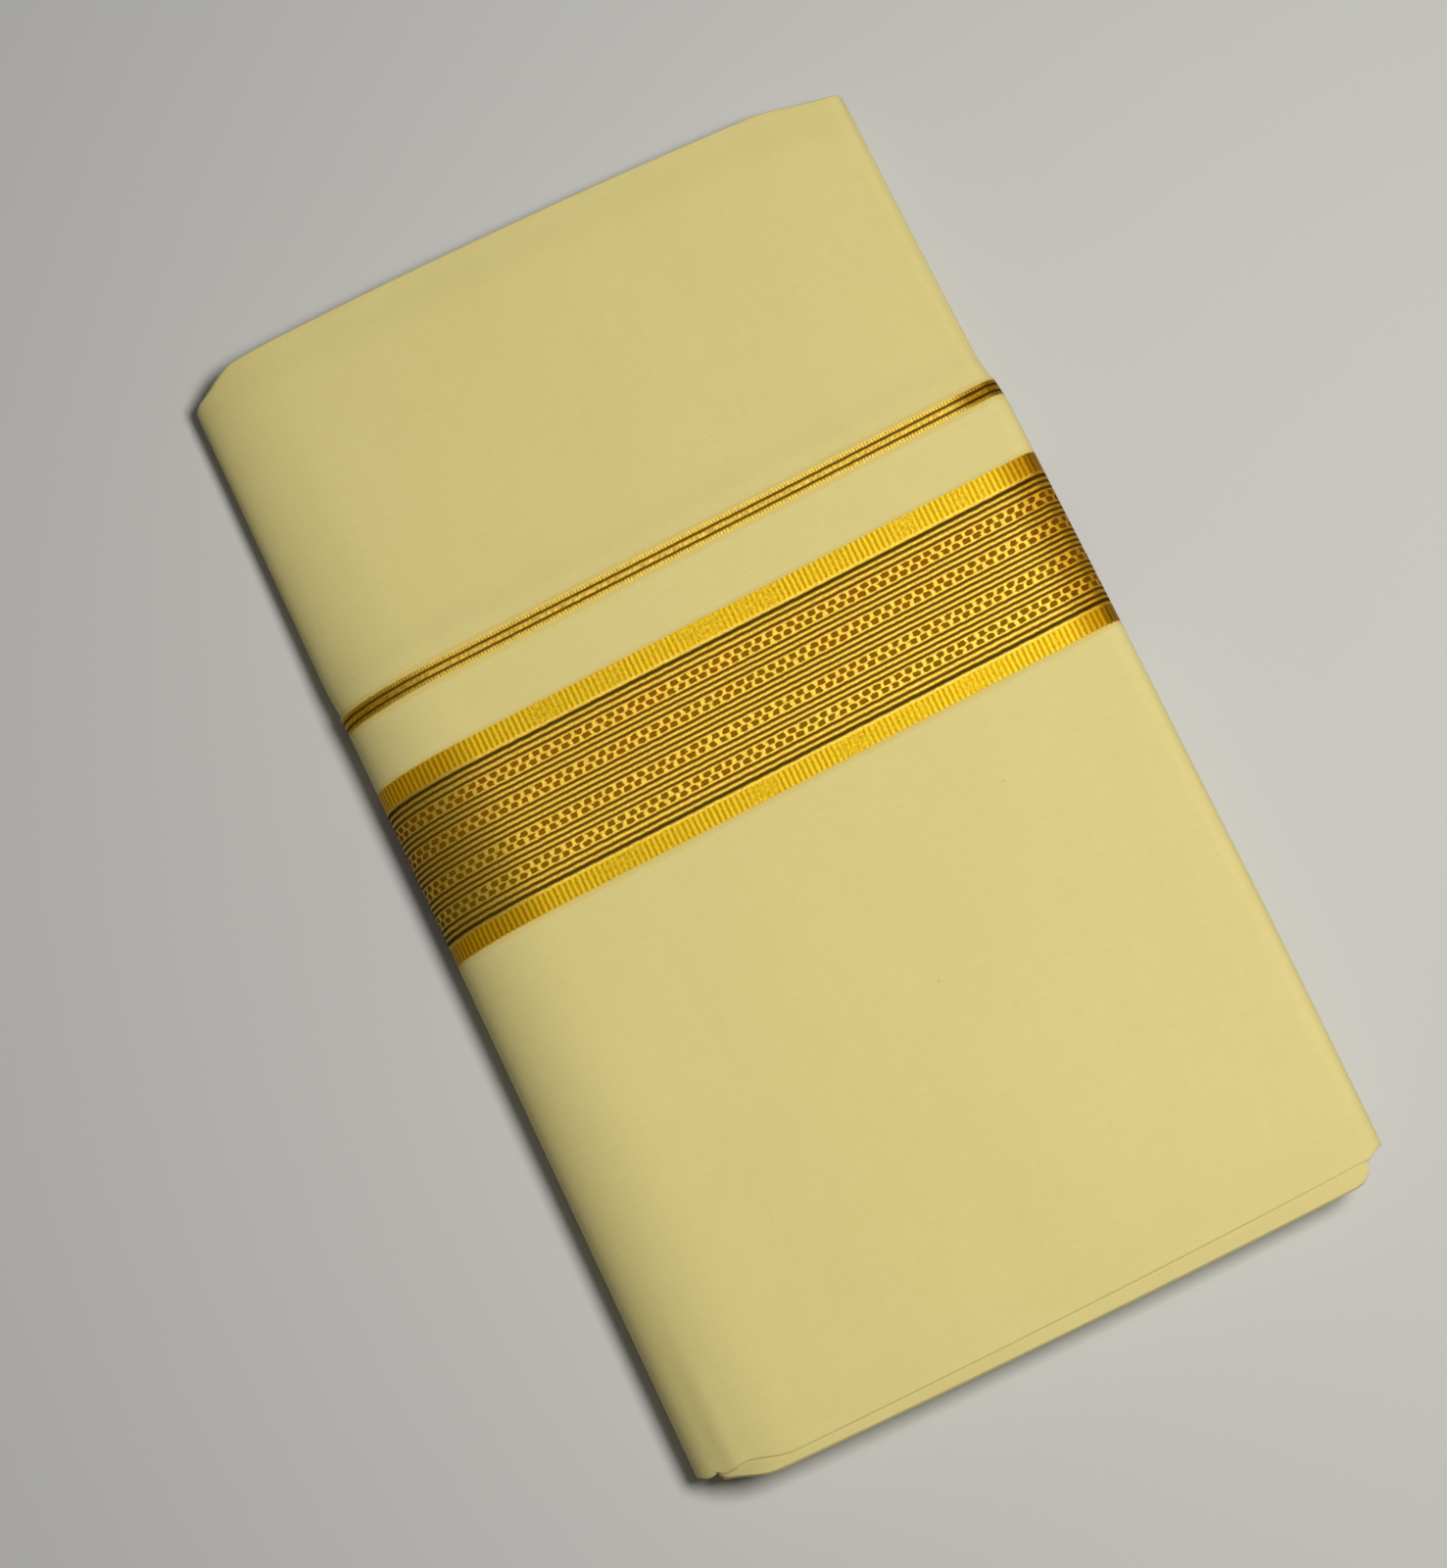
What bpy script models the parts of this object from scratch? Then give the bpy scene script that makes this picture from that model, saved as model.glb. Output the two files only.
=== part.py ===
"""A double dhoti, folded flat for the shelf: cream cotton with a wide and a narrow gold border.

The cloth is doubled along its length, its selvedges are turned up over the front, and the strip
is then halved four times into sixteen panels. The pack lies on its back along Y: the rounded
spine of the last fold is at -X, the folded and loose edges are at +X, and the centre fold of the
cloth is at +Y. The origin is at the centre of the underside. Metres, +Z up.
"""

import math

import bmesh
import bpy

# ---- The cloth ----
CLOTH_LENGTH = 3.60
CLOTH_WIDTH = 1.27
PANELS = 16  # the strip is halved four times
WALL = 0.0015  # an outer panel, up to four thicknesses of cloth
SEAM = 0.0003  # space between neighbouring pieces

# ---- The folded pack ----
SPINE_BULGE = 0.0005  # the rounded spine adds this much to the half width
HALF_WIDTH = CLOTH_LENGTH / PANELS / 2 + SPINE_BULGE
PACK_LENGTH = 0.3780
PANEL_LENGTH = 0.3735  # centre fold to bottom fold of one panel
FLAP_DEPTH = CLOTH_WIDTH / 2 - PANEL_LENGTH  # how far the selvedges are turned up
STACK_SLIP = PACK_LENGTH - PANEL_LENGTH  # the hidden panels show this far below the front
FLAP_HEIGHT = 0.0270  # height of the pack where the selvedges are turned up
BODY_HEIGHT = 0.0185  # height of the pack near the centre fold
SETTLE = 0.040  # the height falls off above the selvedge over about this length
SELVEDGE_STEP = 0.0012  # the turned-up cloth ends in a step this high
STEP_LENGTH = 0.020  # the hidden layers take the step over this length, below the selvedge
STEP_LEAD = 1.2  # and have taken all of it a little before they reach it
OPEN_SIDE_DROP = 0.06  # share of the height that is lost from the spine to the open side
EDGE_DROOP = 0.0012  # the surface sinks this much at the bottom fold and the centre fold
DROOP_LENGTH = 0.016

# ---- Its outline ----
TOP_Y = PACK_LENGTH / 2
FRONT_EDGE_Y = TOP_Y - PANEL_LENGTH  # bottom fold of the front panel, on the middle line
LOW_EDGE_Y = -PACK_LENGTH / 2  # bottom fold of the panels below it, on the middle line
FOLD_TAKE_UP = 0.0018  # the rounded bottom fold takes this much from the flap
SELVEDGE_Y = FRONT_EDGE_Y + FLAP_DEPTH - FOLD_TAKE_UP
EDGE_SLANT = 0.0145  # the front panel's bottom fold rises towards the open side
BORDER_SLANT = 0.031  # the selvedge and the borders rise a little more
TOP_BOW = 0.0028
FRONT_BOW = 0.0012
LOW_BOW = 0.0013
TOP_CORNER_RISE = 0.0036  # the centre fold falls off by this much at its corners
TOP_CORNER_LENGTH = (0.012, 0.027)  # over these lengths, at the spine and at the open side
TOP_CORNER_FLAT = 0.005  # and runs on to the side from there
FRONT_SPINE_RISE = 0.0035  # the bottom folds pull up where they turn round the spine
LOW_SPINE_RISE = 0.0042
SPINE_RISE_START = (0.014, 0.007)  # how far in from the spine: the front panel, those below
SPINE_RISE_LENGTH = 0.017
TIP_RISE = 0.0016  # the front panel's pulls up again right at the spine
TIP_LENGTH = 0.0045
STEP_X = -0.1048  # the lower line steps up to the front panel's here, near the spine
STEP_WIDTH = 0.0016
FOOT_END_X = 0.1035  # and here, near the open side, for the upper of the hidden panels
FOOT_END_WIDTH = 0.0025
CORNER_RISE = 0.0021  # the corners of the open side are drawn up too
LOW_CORNER_RISE = 0.0040
CORNER_LENGTH = 0.007
LOW_CORNER_START = 0.0106  # how far in from the open side the lower corner's rise starts
FLAP_TUCK = 0.0012  # the flap draws the spine in
BODY_TUCK = 0.0019  # the open side stands back this far above the selvedge
FOOT_TUCK = 0.0010  # and this far at the bottom fold
FOOT_LENGTH = 0.110
LOWER_FOOT_TUCK = 0.0022  # the lower panels' open side runs in this far
LOWER_FOOT_LENGTH = 0.030  # over this length
SPINE_REACH_TOP = 0.032  # how far in the spine's curve runs, on the front
SPINE_REACH_BACK = 0.012  # and on the underside
SPINE_LEVEL = 0.34  # the spine's outermost line is this share of the height up
FOLD_REACH = 0.0060  # the same at the open fold of the upper panels
HOOK_LENGTH = 0.012  # the outer panel turns in between the stacks this far
BLEND_LENGTH = 0.024  # the sides pass from the flap's width to the body's over this length
LOWER_RECESS = 0.0030  # the lower panels stand back this far at the open side

# ---- The woven borders, measured down from the selvedge ----
NARROW_BORDER = 0.0068
BORDER_GAP = 0.0194
WIDE_BORDER = 0.0589

# ---- The hidden layers ----
LAYER_SPACE = 0.0005  # space between the outer panels and the hidden layers
LEAVES_PER_STACK = (PANELS - 2) // 2
LEAF_GROOVE = 0.0010  # depth of the groove between two layers' edges
STACK_GROOVE = 0.0050  # depth of the crease between the two stacks
LEAF_CREST = (0.22, 0.78)  # a layer's full edge runs between these shares of its thickness
CORNER_RADIUS = 0.006
LAYER_CELLS = 8  # across and along the flat of a layer
NEAR_CORNERS = (-0.1040, -0.0960, 0.0940, 0.1025)  # extra stations across
NEAR_SELVEDGE = (-0.030, -0.022, -0.014, -0.007, 0.0, 0.007, 0.014, 0.024, 0.038)  # and along

# The lower stack's leaves at the open side, from the lowest: a loose end, the cloth's first fold,
# and its second, which holds two folds, one inside the other.
LOOSE_LEAVES = 1
SINGLE_FOLD_LEAVES = 2
SINGLE_FOLD_REACH = 0.0022
DOUBLE_FOLD_LEAVES = 4
DOUBLE_FOLD_REACH = 0.0040

COTTON = (0.79, 0.68, 0.31, 1.0)
ZARI = (0.78, 0.52, 0.10, 1.0)


def mix(a, b, share):
    return a + (b - a) * share


def ease(share):
    """0 to 1 with no corner at either end."""
    share = min(max(share, 0.0), 1.0)
    return share * share * (3.0 - 2.0 * share)


# ---- Outline of the pack, seen from above ----


def selvedge_y(x):
    return SELVEDGE_Y + BORDER_SLANT * x


def above_selvedge(x, y):
    """0 on the flap, 1 above it."""
    return ease((y - selvedge_y(x)) / BLEND_LENGTH + 0.5)


def spine_x(y):
    return -HALF_WIDTH + FLAP_TUCK * (1.0 - above_selvedge(-HALF_WIDTH, y))


def open_x(y):
    """The outermost line of the upper panels' open fold."""
    foot = 1.0 - ease((y - FRONT_EDGE_Y) / FOOT_LENGTH)
    return HALF_WIDTH - BODY_TUCK * above_selvedge(HALF_WIDTH, y) - FOOT_TUCK * foot


def lower_open_x(y):
    """The outermost line of the lower panels at the open side."""
    foot = 1.0 - ease((y - LOW_EDGE_Y) / LOWER_FOOT_LENGTH)
    return open_x(y) - LOWER_RECESS - LOWER_FOOT_TUCK * foot


def top_edge(x):
    """Centre fold of the cloth."""
    at_spine = ease((TOP_CORNER_FLAT - x - HALF_WIDTH) / TOP_CORNER_LENGTH[0] + 1.0)
    at_open = ease((TOP_CORNER_FLAT + x - HALF_WIDTH) / TOP_CORNER_LENGTH[1] + 1.0)
    return TOP_Y - TOP_BOW * (x / HALF_WIDTH) ** 2 - TOP_CORNER_RISE * (at_spine + at_open)


def rise_at_spine(x, start):
    """1 near the spine, and 0 from a little further in."""
    return 1.0 - ease((x + HALF_WIDTH - start) / SPINE_RISE_LENGTH)


def front_edge(x):
    """Bottom fold of the front panel."""
    line = FRONT_EDGE_Y + EDGE_SLANT * x + FRONT_BOW * (x / HALF_WIDTH) ** 2
    at_corner = 1.0 - min(max((HALF_WIDTH - x) / CORNER_LENGTH, 0.0), 1.0) ** 2
    at_spine = rise_at_spine(x, SPINE_RISE_START[0])
    at_tip = ease((TIP_LENGTH - x - HALF_WIDTH) / TIP_LENGTH)
    return line + FRONT_SPINE_RISE * at_spine + TIP_RISE * at_tip + CORNER_RISE * at_corner


def low_edge(x):
    """Bottom fold of the panels below it, away from the corners."""
    line = LOW_EDGE_Y + LOW_BOW * (x / HALF_WIDTH) ** 2
    at_corner = ease((x - HALF_WIDTH + LOW_CORNER_START) / CORNER_LENGTH)
    at_spine = rise_at_spine(x, SPINE_RISE_START[1])
    return line + LOW_SPINE_RISE * at_spine + LOW_CORNER_RISE * at_corner


def hidden_edge(x, stack):
    """Bottom fold of the lower (0) or upper (1) hidden panels, with its steps near the corners."""
    at_spine = ease((STEP_X - x) / STEP_WIDTH)
    at_open = stack * ease((x - FOOT_END_X) / FOOT_END_WIDTH)
    return mix(low_edge(x), front_edge(x), max(at_spine, at_open))


# ---- Heights ----


def pack_height(x, y, step_length=0.0):
    """Height of the pack's upper surface, with the step at the selvedge sharp or over a length."""
    above = y - selvedge_y(x)
    height = FLAP_HEIGHT
    if above > 0.0:
        height -= SELVEDGE_STEP
    elif step_length:
        height -= SELVEDGE_STEP * ease(STEP_LEAD + above / step_length)
    fall = FLAP_HEIGHT - SELVEDGE_STEP - BODY_HEIGHT
    height -= fall * (1.0 - math.exp(-max(above, 0.0) / SETTLE))
    height *= 1.0 - OPEN_SIDE_DROP * ease((x + HALF_WIDTH) / (2 * HALF_WIDTH))
    height -= EDGE_DROOP * (1.0 - ease((y - front_edge(x)) / DROOP_LENGTH))
    height -= EDGE_DROOP * (1.0 - ease((top_edge(x) - y) / DROOP_LENGTH))
    return height


def crease_height(x, y):
    """Height of the crease between the lower and the upper stack."""
    return pack_height(x, y) / 2


def round_in(height, low, high, reach):
    """How far a rounded edge between two heights has come in from its outermost line."""
    half = (high - low) / 2
    off_centre = min(abs(height - low - half) / half, 1.0)
    return reach * (1.0 - math.sqrt(1.0 - off_centre**2))


# ---- The outer panel, as a path round the pack from underneath to the crease ----


def evenly(start, stop, count):
    return [mix(start, stop, i / count) for i in range(count + 1)]


UNDERSIDE_STEPS = 6
SPINE_STEPS = 14
FRONT_STEPS = 9
FOLD_STEPS = 8
HOOK_STEPS = 2


def outer_path(y):
    """The outer panel's outer line at one y: (x, z, share of the way from lower to upper)."""
    left = spine_x(y)
    right = open_x(y)
    underside_end = left + SPINE_REACH_BACK
    front_start = left + SPINE_REACH_TOP
    spine_top = pack_height(front_start, y)
    level = SPINE_LEVEL * spine_top
    fold_start = right - FOLD_REACH
    fold_top = pack_height(fold_start, y)
    fold_low = crease_height(fold_start, y) + SEAM
    fold_half = (fold_top - fold_low) / 2
    path = []
    for share in evenly(0.0, 1.0, UNDERSIDE_STEPS)[:-1]:
        path.append((mix(lower_open_x(y), underside_end, share), 0.0, 0.0))
    for angle in evenly(-math.pi / 2, math.pi / 2, SPINE_STEPS):
        reach, rise = (SPINE_REACH_BACK, level) if angle < 0.0 else (SPINE_REACH_TOP, spine_top - level)
        z = level + rise * math.sin(angle)
        path.append((left + reach * (1.0 - math.cos(angle)), z, z / spine_top))
    for share in evenly(0.0, 1.0, FRONT_STEPS)[1:-1]:
        x = mix(front_start, fold_start, share)
        path.append((x, pack_height(x, y), 1.0))
    for angle in evenly(math.pi / 2, -math.pi / 2, FOLD_STEPS):
        x = fold_start + FOLD_REACH * math.cos(angle)
        path.append((x, fold_low + fold_half * (1.0 + math.sin(angle)), 1.0))
    for share in evenly(0.0, 1.0, HOOK_STEPS)[1:]:
        x = fold_start - HOOK_LENGTH * share
        path.append((x, crease_height(x, y) + SEAM, 1.0))
    return path


def bottom_fold_y(x, turned):
    """Where the outer panel's bottom fold lies, from underneath (0), round the spine, to the front."""
    return front_edge(x) if turned > SPINE_LEVEL else hidden_edge(x, 0)


def centre_fold_y(x, turned):
    return top_edge(x) - STACK_SLIP * (1.0 - ease(turned))


def border_y(below_selvedge):
    """A line of the weave across the outer panel, this far below the selvedge."""

    def line(x, _turned):
        return selvedge_y(x) - below_selvedge

    return line


def wall_points(low, high, share):
    """The wall's outer and inner points on one station between its low and high lines."""
    middle = mix(low(0.0, 1.0), high(0.0, 1.0), share)
    rough = outer_path(middle)
    stations = [mix(low(x, turned), high(x, turned), share) for x, _, turned in rough]
    outer = []
    for i, y in enumerate(stations):
        x, z, _ = outer_path(y)[i]
        outer.append((x, y, z))
    inner = []
    last = len(outer) - 1
    for i, (x, y, z) in enumerate(outer):
        before = outer[max(i - 1, 0)]
        after = outer[min(i + 1, last)]
        dx = after[0] - before[0]
        dz = after[2] - before[2]
        length = math.hypot(dx, dz)
        inner.append((x + WALL * dz / length, y, z - WALL * dx / length))
    return outer, inner


def between(outer, inner, depth):
    return [tuple(mix(a, b, depth) for a, b in zip(p, q)) for p, q in zip(outer, inner)]


def shift_y(points, by):
    return [(x, y + by, z) for x, y, z in points]


def rounded_end(outer, inner, direction, steps=4):
    """Rows that carry the outer surface round a fold to the inner one, half a circle in section."""
    rows = []
    for angle in evenly(0.0, math.pi, steps):
        depth = (1.0 - math.cos(angle)) / 2
        reach = WALL / 2 * (math.sin(angle) - 1.0)
        rows.append(shift_y(between(outer, inner, depth), direction * reach))
    return rows


def add_wall(name, low, high, steps, material, folded_low=False, folded_high=False):
    """One stretch of the outer panel, as a closed wall swept round the pack."""
    outer_rows = []
    inner_rows = []
    for share in evenly(0.0, 1.0, steps):
        outer, inner = wall_points(low, high, share)
        outer_rows.append(outer)
        inner_rows.append(inner)
    ring = list(outer_rows)
    if folded_high:
        ring[-1:] = rounded_end(outer_rows[-1], inner_rows[-1], 1.0)
        inner_rows.pop()
    ring += reversed(inner_rows)
    if folded_low:
        ring.pop()
        end = rounded_end(outer_rows[0], inner_rows[0], -1.0)
        ring[:1] = reversed(end)
        ring = ring[len(end) - 1 :] + ring[: len(end) - 1]
    mesh = bmesh.new()
    loops = [[mesh.verts.new(point) for point in row] for row in ring]
    count = len(loops)
    for i, loop in enumerate(loops):
        following = loops[(i + 1) % count]
        for a, b, c, d in zip(loop, loop[1:], following[1:], following):
            mesh.faces.new((a, b, c, d))
    for end in (0, -1):
        add_strip_cap(mesh, [loop[end] for loop in loops])
    return finish(name, mesh, material)


def add_strip_cap(mesh, ring):
    """Closes the long thin end of a wall with quads across its thickness."""
    count = len(ring)
    for i in range((count - 1) // 2):
        a, b = ring[i], ring[i + 1]
        c, d = ring[count - 2 - i], ring[count - 1 - i]
        corners = list(dict.fromkeys((a, b, c, d)))
        if len(corners) > 2:
            mesh.faces.new(corners)


# ---- The hidden layers, as one solid with an edge for each layer ----


def grid_lines(half, count):
    """Lines across a rectangle in -1..1, with two close to each end for its rounded corners."""
    corner = CORNER_RADIUS / half
    inner = evenly(-1.0 + corner, 1.0 - corner, count)
    return [-1.0, -1.0 + corner / 2, *inner, 1.0 - corner / 2, 1.0]


def rounded(a, b):
    """A point of the square -1..1, drawn in to the corners' arcs."""
    corner_a = CORNER_RADIUS / HALF_WIDTH
    corner_b = CORNER_RADIUS / (PACK_LENGTH / 2)
    core_a = min(max(a, corner_a - 1.0), 1.0 - corner_a)
    core_b = min(max(b, corner_b - 1.0), 1.0 - corner_b)
    over = math.hypot((a - core_a) / corner_a, (b - core_b) / corner_b)
    if over <= 1.0:
        return a, b
    return core_a + (a - core_a) / over, core_b + (b - core_b) / over


def lower_open_inset(leaf, share):
    """How far a lower layer's edge stands back at the open side, by the folds that it is part of."""
    height = leaf + share
    first = LOOSE_LEAVES
    second = first + SINGLE_FOLD_LEAVES
    if leaf < first:
        return 0.0
    if leaf < second:
        return round_in(height, first, second, SINGLE_FOLD_REACH)
    return round_in(height, second, second + DOUBLE_FOLD_LEAVES, DOUBLE_FOLD_REACH)


def layer_place(a, b, stack, leaf, share, groove):
    """A point on the hidden layers: a and b across and along, at a share of one leaf's height."""
    a, b = rounded(a, b)
    across = (a + 1.0) / 2
    along = (b + 1.0) / 2
    skin = WALL + LAYER_SPACE
    rough_x = a * HALF_WIDTH
    low = hidden_edge(rough_x, stack)
    high = top_edge(rough_x) - (0.0 if stack else STACK_SLIP)
    y = mix(low + skin / 2 + groove, high - skin / 2 - groove, along)
    left = spine_x(y) + skin
    right = open_x(y) - skin if stack else lower_open_x(y) - SEAM
    x = mix(left, right, across)
    top = pack_height(x, y, STEP_LENGTH) - skin
    crease = crease_height(x, y)
    level = (leaf + share) / LEAVES_PER_STACK
    z = mix(crease + SEAM + skin, top, level) if stack else mix(skin, crease - SEAM, level)
    level = SPINE_LEVEL * pack_height(left + SPINE_REACH_TOP, y)
    if z > level:
        left += round_in(z, 2 * level - top, top, SPINE_REACH_TOP - skin)
    else:
        left += round_in(z, skin, 2 * level - skin, SPINE_REACH_BACK - skin)
    faces_hook = (leaf == 0) if stack else (share == 1.0)
    if faces_hook:
        right -= HOOK_LENGTH + FOLD_REACH
    elif stack:
        right -= round_in(z, crease + skin, top, FOLD_REACH - skin)
    else:
        right -= lower_open_inset(leaf, share)
    return mix(left, right - groove, across), y, z


def layer_levels():
    """(stack, leaf, share of its height, depth of groove) from the lowest edge to the highest."""
    levels = []
    for stack in (0, 1):
        for leaf in range(LEAVES_PER_STACK):
            groove = STACK_GROOVE if stack and leaf == 0 else LEAF_GROOVE
            levels.append((stack, leaf, 0.0, groove))
            levels += [(stack, leaf, share, 0.0) for share in LEAF_CREST]
        groove = LEAF_GROOVE if stack else STACK_GROOVE
        levels.append((stack, LEAVES_PER_STACK - 1, 1.0, groove))
    return levels


def add_layers(name, material):
    half_length = PACK_LENGTH / 2
    across = sorted(grid_lines(HALF_WIDTH, LAYER_CELLS) + [x / HALF_WIDTH for x in NEAR_CORNERS])
    along = grid_lines(half_length, LAYER_CELLS)
    along += [(SELVEDGE_Y + near) / half_length for near in NEAR_SELVEDGE]
    along.sort()
    levels = layer_levels()
    south = [(i, 0) for i in range(len(across) - 1)]
    east = [(len(across) - 1, j) for j in range(len(along) - 1)]
    north = [(i, len(along) - 1) for i in range(len(across) - 1, 0, -1)]
    west = [(0, j) for j in range(len(along) - 1, 0, -1)]
    rim = south + east + north + west
    mesh = bmesh.new()
    rings = []
    for level in levels:
        places = {(i, j): layer_place(across[i], along[j], *level) for i, j in rim}
        rings.append({key: mesh.verts.new(place) for key, place in places.items()})
    for low, high in zip(rings, rings[1:]):
        for here, there in zip(rim, rim[1:] + rim[:1]):
            mesh.faces.new((low[here], low[there], high[there], high[here]))
    for ring, level in ((rings[0], levels[0]), (rings[-1], levels[-1])):
        cap = dict(ring)
        for i in range(1, len(across) - 1):
            for j in range(1, len(along) - 1):
                cap[i, j] = mesh.verts.new(layer_place(across[i], along[j], *level))
        for i in range(len(across) - 1):
            for j in range(len(along) - 1):
                mesh.faces.new((cap[i, j], cap[i + 1, j], cap[i + 1, j + 1], cap[i, j + 1]))
    return finish(name, mesh, material)


# ---- Scene ----


def clear_scene():
    for item in list(bpy.data.objects):
        bpy.data.objects.remove(item)


def woven(name, color, roughness, metallic=0.0):
    material = bpy.data.materials.new(name)
    material.use_nodes = True
    surface = material.node_tree.nodes["Principled BSDF"]
    surface.inputs["Base Color"].default_value = color
    surface.inputs["Roughness"].default_value = roughness
    surface.inputs["Metallic"].default_value = metallic
    return material


def finish(name, mesh, material):
    bmesh.ops.recalc_face_normals(mesh, faces=mesh.faces)
    data = bpy.data.meshes.new(name)
    mesh.to_mesh(data)
    mesh.free()
    data.materials.append(material)
    data.shade_smooth()
    data.set_sharp_from_angle(angle=math.radians(40))
    piece = bpy.data.objects.new(name, data)
    bpy.context.scene.collection.objects.link(piece)
    return piece


def main():
    clear_scene()
    cotton = woven("cotton", COTTON, 0.85)
    zari = woven("zari", ZARI, 0.40, 0.60)
    wide_top = NARROW_BORDER + BORDER_GAP
    wide_foot = wide_top + WIDE_BORDER
    add_wall("lower_cloth", bottom_fold_y, border_y(wide_foot + SEAM), 8, cotton, folded_low=True)
    add_wall("wide_border", border_y(wide_foot), border_y(wide_top), 3, zari)
    add_wall("border_gap", border_y(wide_top - SEAM), border_y(NARROW_BORDER + SEAM), 3, cotton)
    add_wall("narrow_border", border_y(NARROW_BORDER), border_y(0.0), 2, zari)
    add_wall("upper_cloth", border_y(-SEAM), centre_fold_y, 8, cotton, folded_high=True)
    add_layers("folded_layers", cotton)


main()
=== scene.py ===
"""The looks of a folded dhoti: cream cotton and woven gold borders, in thin sheets round its layers.

The frame brings in the part's solids. Each stretch of the outer panel becomes a thin sheet on the
form of its solid, and the hidden layers become one long ribbon, folded as the cloth is. Metres.
"""

import math
from typing import NamedTuple

import bpy
import numpy as np
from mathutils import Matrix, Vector, noise


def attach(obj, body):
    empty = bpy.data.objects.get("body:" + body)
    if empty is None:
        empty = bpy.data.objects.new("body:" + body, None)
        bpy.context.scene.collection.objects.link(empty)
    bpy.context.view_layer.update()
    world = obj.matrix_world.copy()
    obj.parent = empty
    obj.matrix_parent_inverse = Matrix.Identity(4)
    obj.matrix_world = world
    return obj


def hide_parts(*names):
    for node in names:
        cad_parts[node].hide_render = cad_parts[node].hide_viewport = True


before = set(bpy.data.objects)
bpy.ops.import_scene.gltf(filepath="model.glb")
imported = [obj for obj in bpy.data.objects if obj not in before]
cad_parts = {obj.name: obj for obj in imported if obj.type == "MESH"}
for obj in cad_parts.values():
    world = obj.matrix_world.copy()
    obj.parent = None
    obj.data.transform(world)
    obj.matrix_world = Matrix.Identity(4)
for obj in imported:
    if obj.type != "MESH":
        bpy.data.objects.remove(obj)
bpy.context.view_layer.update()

# ---- The cloth and its folded pack, as in the part's source ----
CLOTH_LENGTH = 3.60
CLOTH_WIDTH = 1.27
FOLDS = 4  # the strip is halved this many times
PANELS = 2**FOLDS
SPINE_BULGE = 0.0005  # the rounded spine adds this much to the half width
HALF_WIDTH = CLOTH_LENGTH / PANELS / 2 + SPINE_BULGE
PACK_LENGTH = 0.3780
PANEL_LENGTH = 0.3735  # centre fold to bottom fold of one panel
FLAP_DEPTH = CLOTH_WIDTH / 2 - PANEL_LENGTH  # how far the selvedges are turned up
STACK_SLIP = PACK_LENGTH - PANEL_LENGTH  # the hidden panels show this far below the front
FLAP_HEIGHT = 0.0270  # height of the pack where the selvedges are turned up
BODY_HEIGHT = 0.0185  # and near the centre fold
SETTLE = 0.040  # above the selvedge the height falls off over about this length
SELVEDGE_STEP = 0.0012  # the turned-up cloth ends in a step this high
OPEN_SIDE_DROP = 0.06  # share of the height lost from spine to open side
EDGE_DROOP = 0.0012  # the surface sinks this much at the bottom and centre folds
DROOP_LENGTH = 0.016
SEAM = 0.0003  # space on each side of the crease between the two stacks

TOP_Y = PACK_LENGTH / 2
FRONT_EDGE_Y = TOP_Y - PANEL_LENGTH  # bottom fold of the front panel, on the middle line
LOW_EDGE_Y = -PACK_LENGTH / 2  # bottom fold of the panels below it, on the middle line
FOLD_TAKE_UP = 0.0018  # the rounded bottom fold takes this much from the flap
SELVEDGE_Y = FRONT_EDGE_Y + FLAP_DEPTH - FOLD_TAKE_UP
EDGE_SLANT = 0.0145  # the front bottom fold rises to the open side
BORDER_SLANT = 0.031  # the selvedge and the borders rise more
TOP_BOW = 0.0028
FRONT_BOW = 0.0012
LOW_BOW = 0.0013
TOP_CORNER_RISE = 0.0036  # the centre fold falls off by this much at its corners
TOP_CORNER_LENGTH = (0.012, 0.027)  # over these lengths, at the spine and at the open side
TOP_CORNER_FLAT = 0.005  # and has fallen in full this far in from each side
FRONT_SPINE_RISE = 0.0035  # the bottom folds pull up where they turn round the spine
LOW_SPINE_RISE = 0.0042
SPINE_RISE_START = (0.014, 0.007)  # how far in from the spine: the front panel, those below
SPINE_RISE_LENGTH = 0.017
TIP_RISE = 0.0016  # the front panel's bottom fold rises again right at the spine
TIP_LENGTH = 0.0045
NOTCH_X = -0.1054  # and there is a small notch in it between the spine and the lip
NOTCH_RISE = 0.0009
NOTCH_HALF = 0.0020
STEP_X = -0.1046  # the hidden panels' bottom fold steps up to the front panel's here
STEP_WIDTH = 0.0010
FOOT_END_X = 0.1052  # and here, near the open side, for the upper of them
FOOT_END_WIDTH = 0.0012
LIP_X = -0.0978  # the flap's fold ends here in a small lip, and drops a little beyond it
LIP_RUN = 0.0014
LIP_DROP = 0.0009
CORNER_RISE = 0.0021  # the corners of the open side are drawn up too
LOW_CORNER_RISE = 0.0040
CORNER_LENGTH = 0.007
LOW_CORNER_START = 0.0119  # how far in the lower corner's rise starts
FLAP_TUCK = 0.0012  # the flap draws the spine in
BODY_TUCK = 0.0019  # the open side stands back this far above the selvedge
FOOT_TUCK = 0.0010  # and this far at the bottom fold
FOOT_LENGTH = 0.110
LOWER_FOOT_TUCK = 0.0022  # the lower panels' open side runs in this far at its foot
LOWER_FOOT_LENGTH = 0.030  # over this length
SPINE_REACH_TOP = 0.032  # how far in the spine's curve runs, on the front
SPINE_REACH_BACK = 0.012  # and on the underside
SPINE_LEVEL = 0.34  # the spine's outermost line is this share of the height up
FOLD_REACH = 0.0060  # how far in the upper panels' open fold curves
HOOK_LENGTH = 0.012  # the outer panel turns in between the stacks this far
BLEND_LENGTH = 0.024  # the flap's width passes to the body's over this length
LOWER_RECESS = 0.0030  # the lower panels stand back this far at the open side

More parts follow.
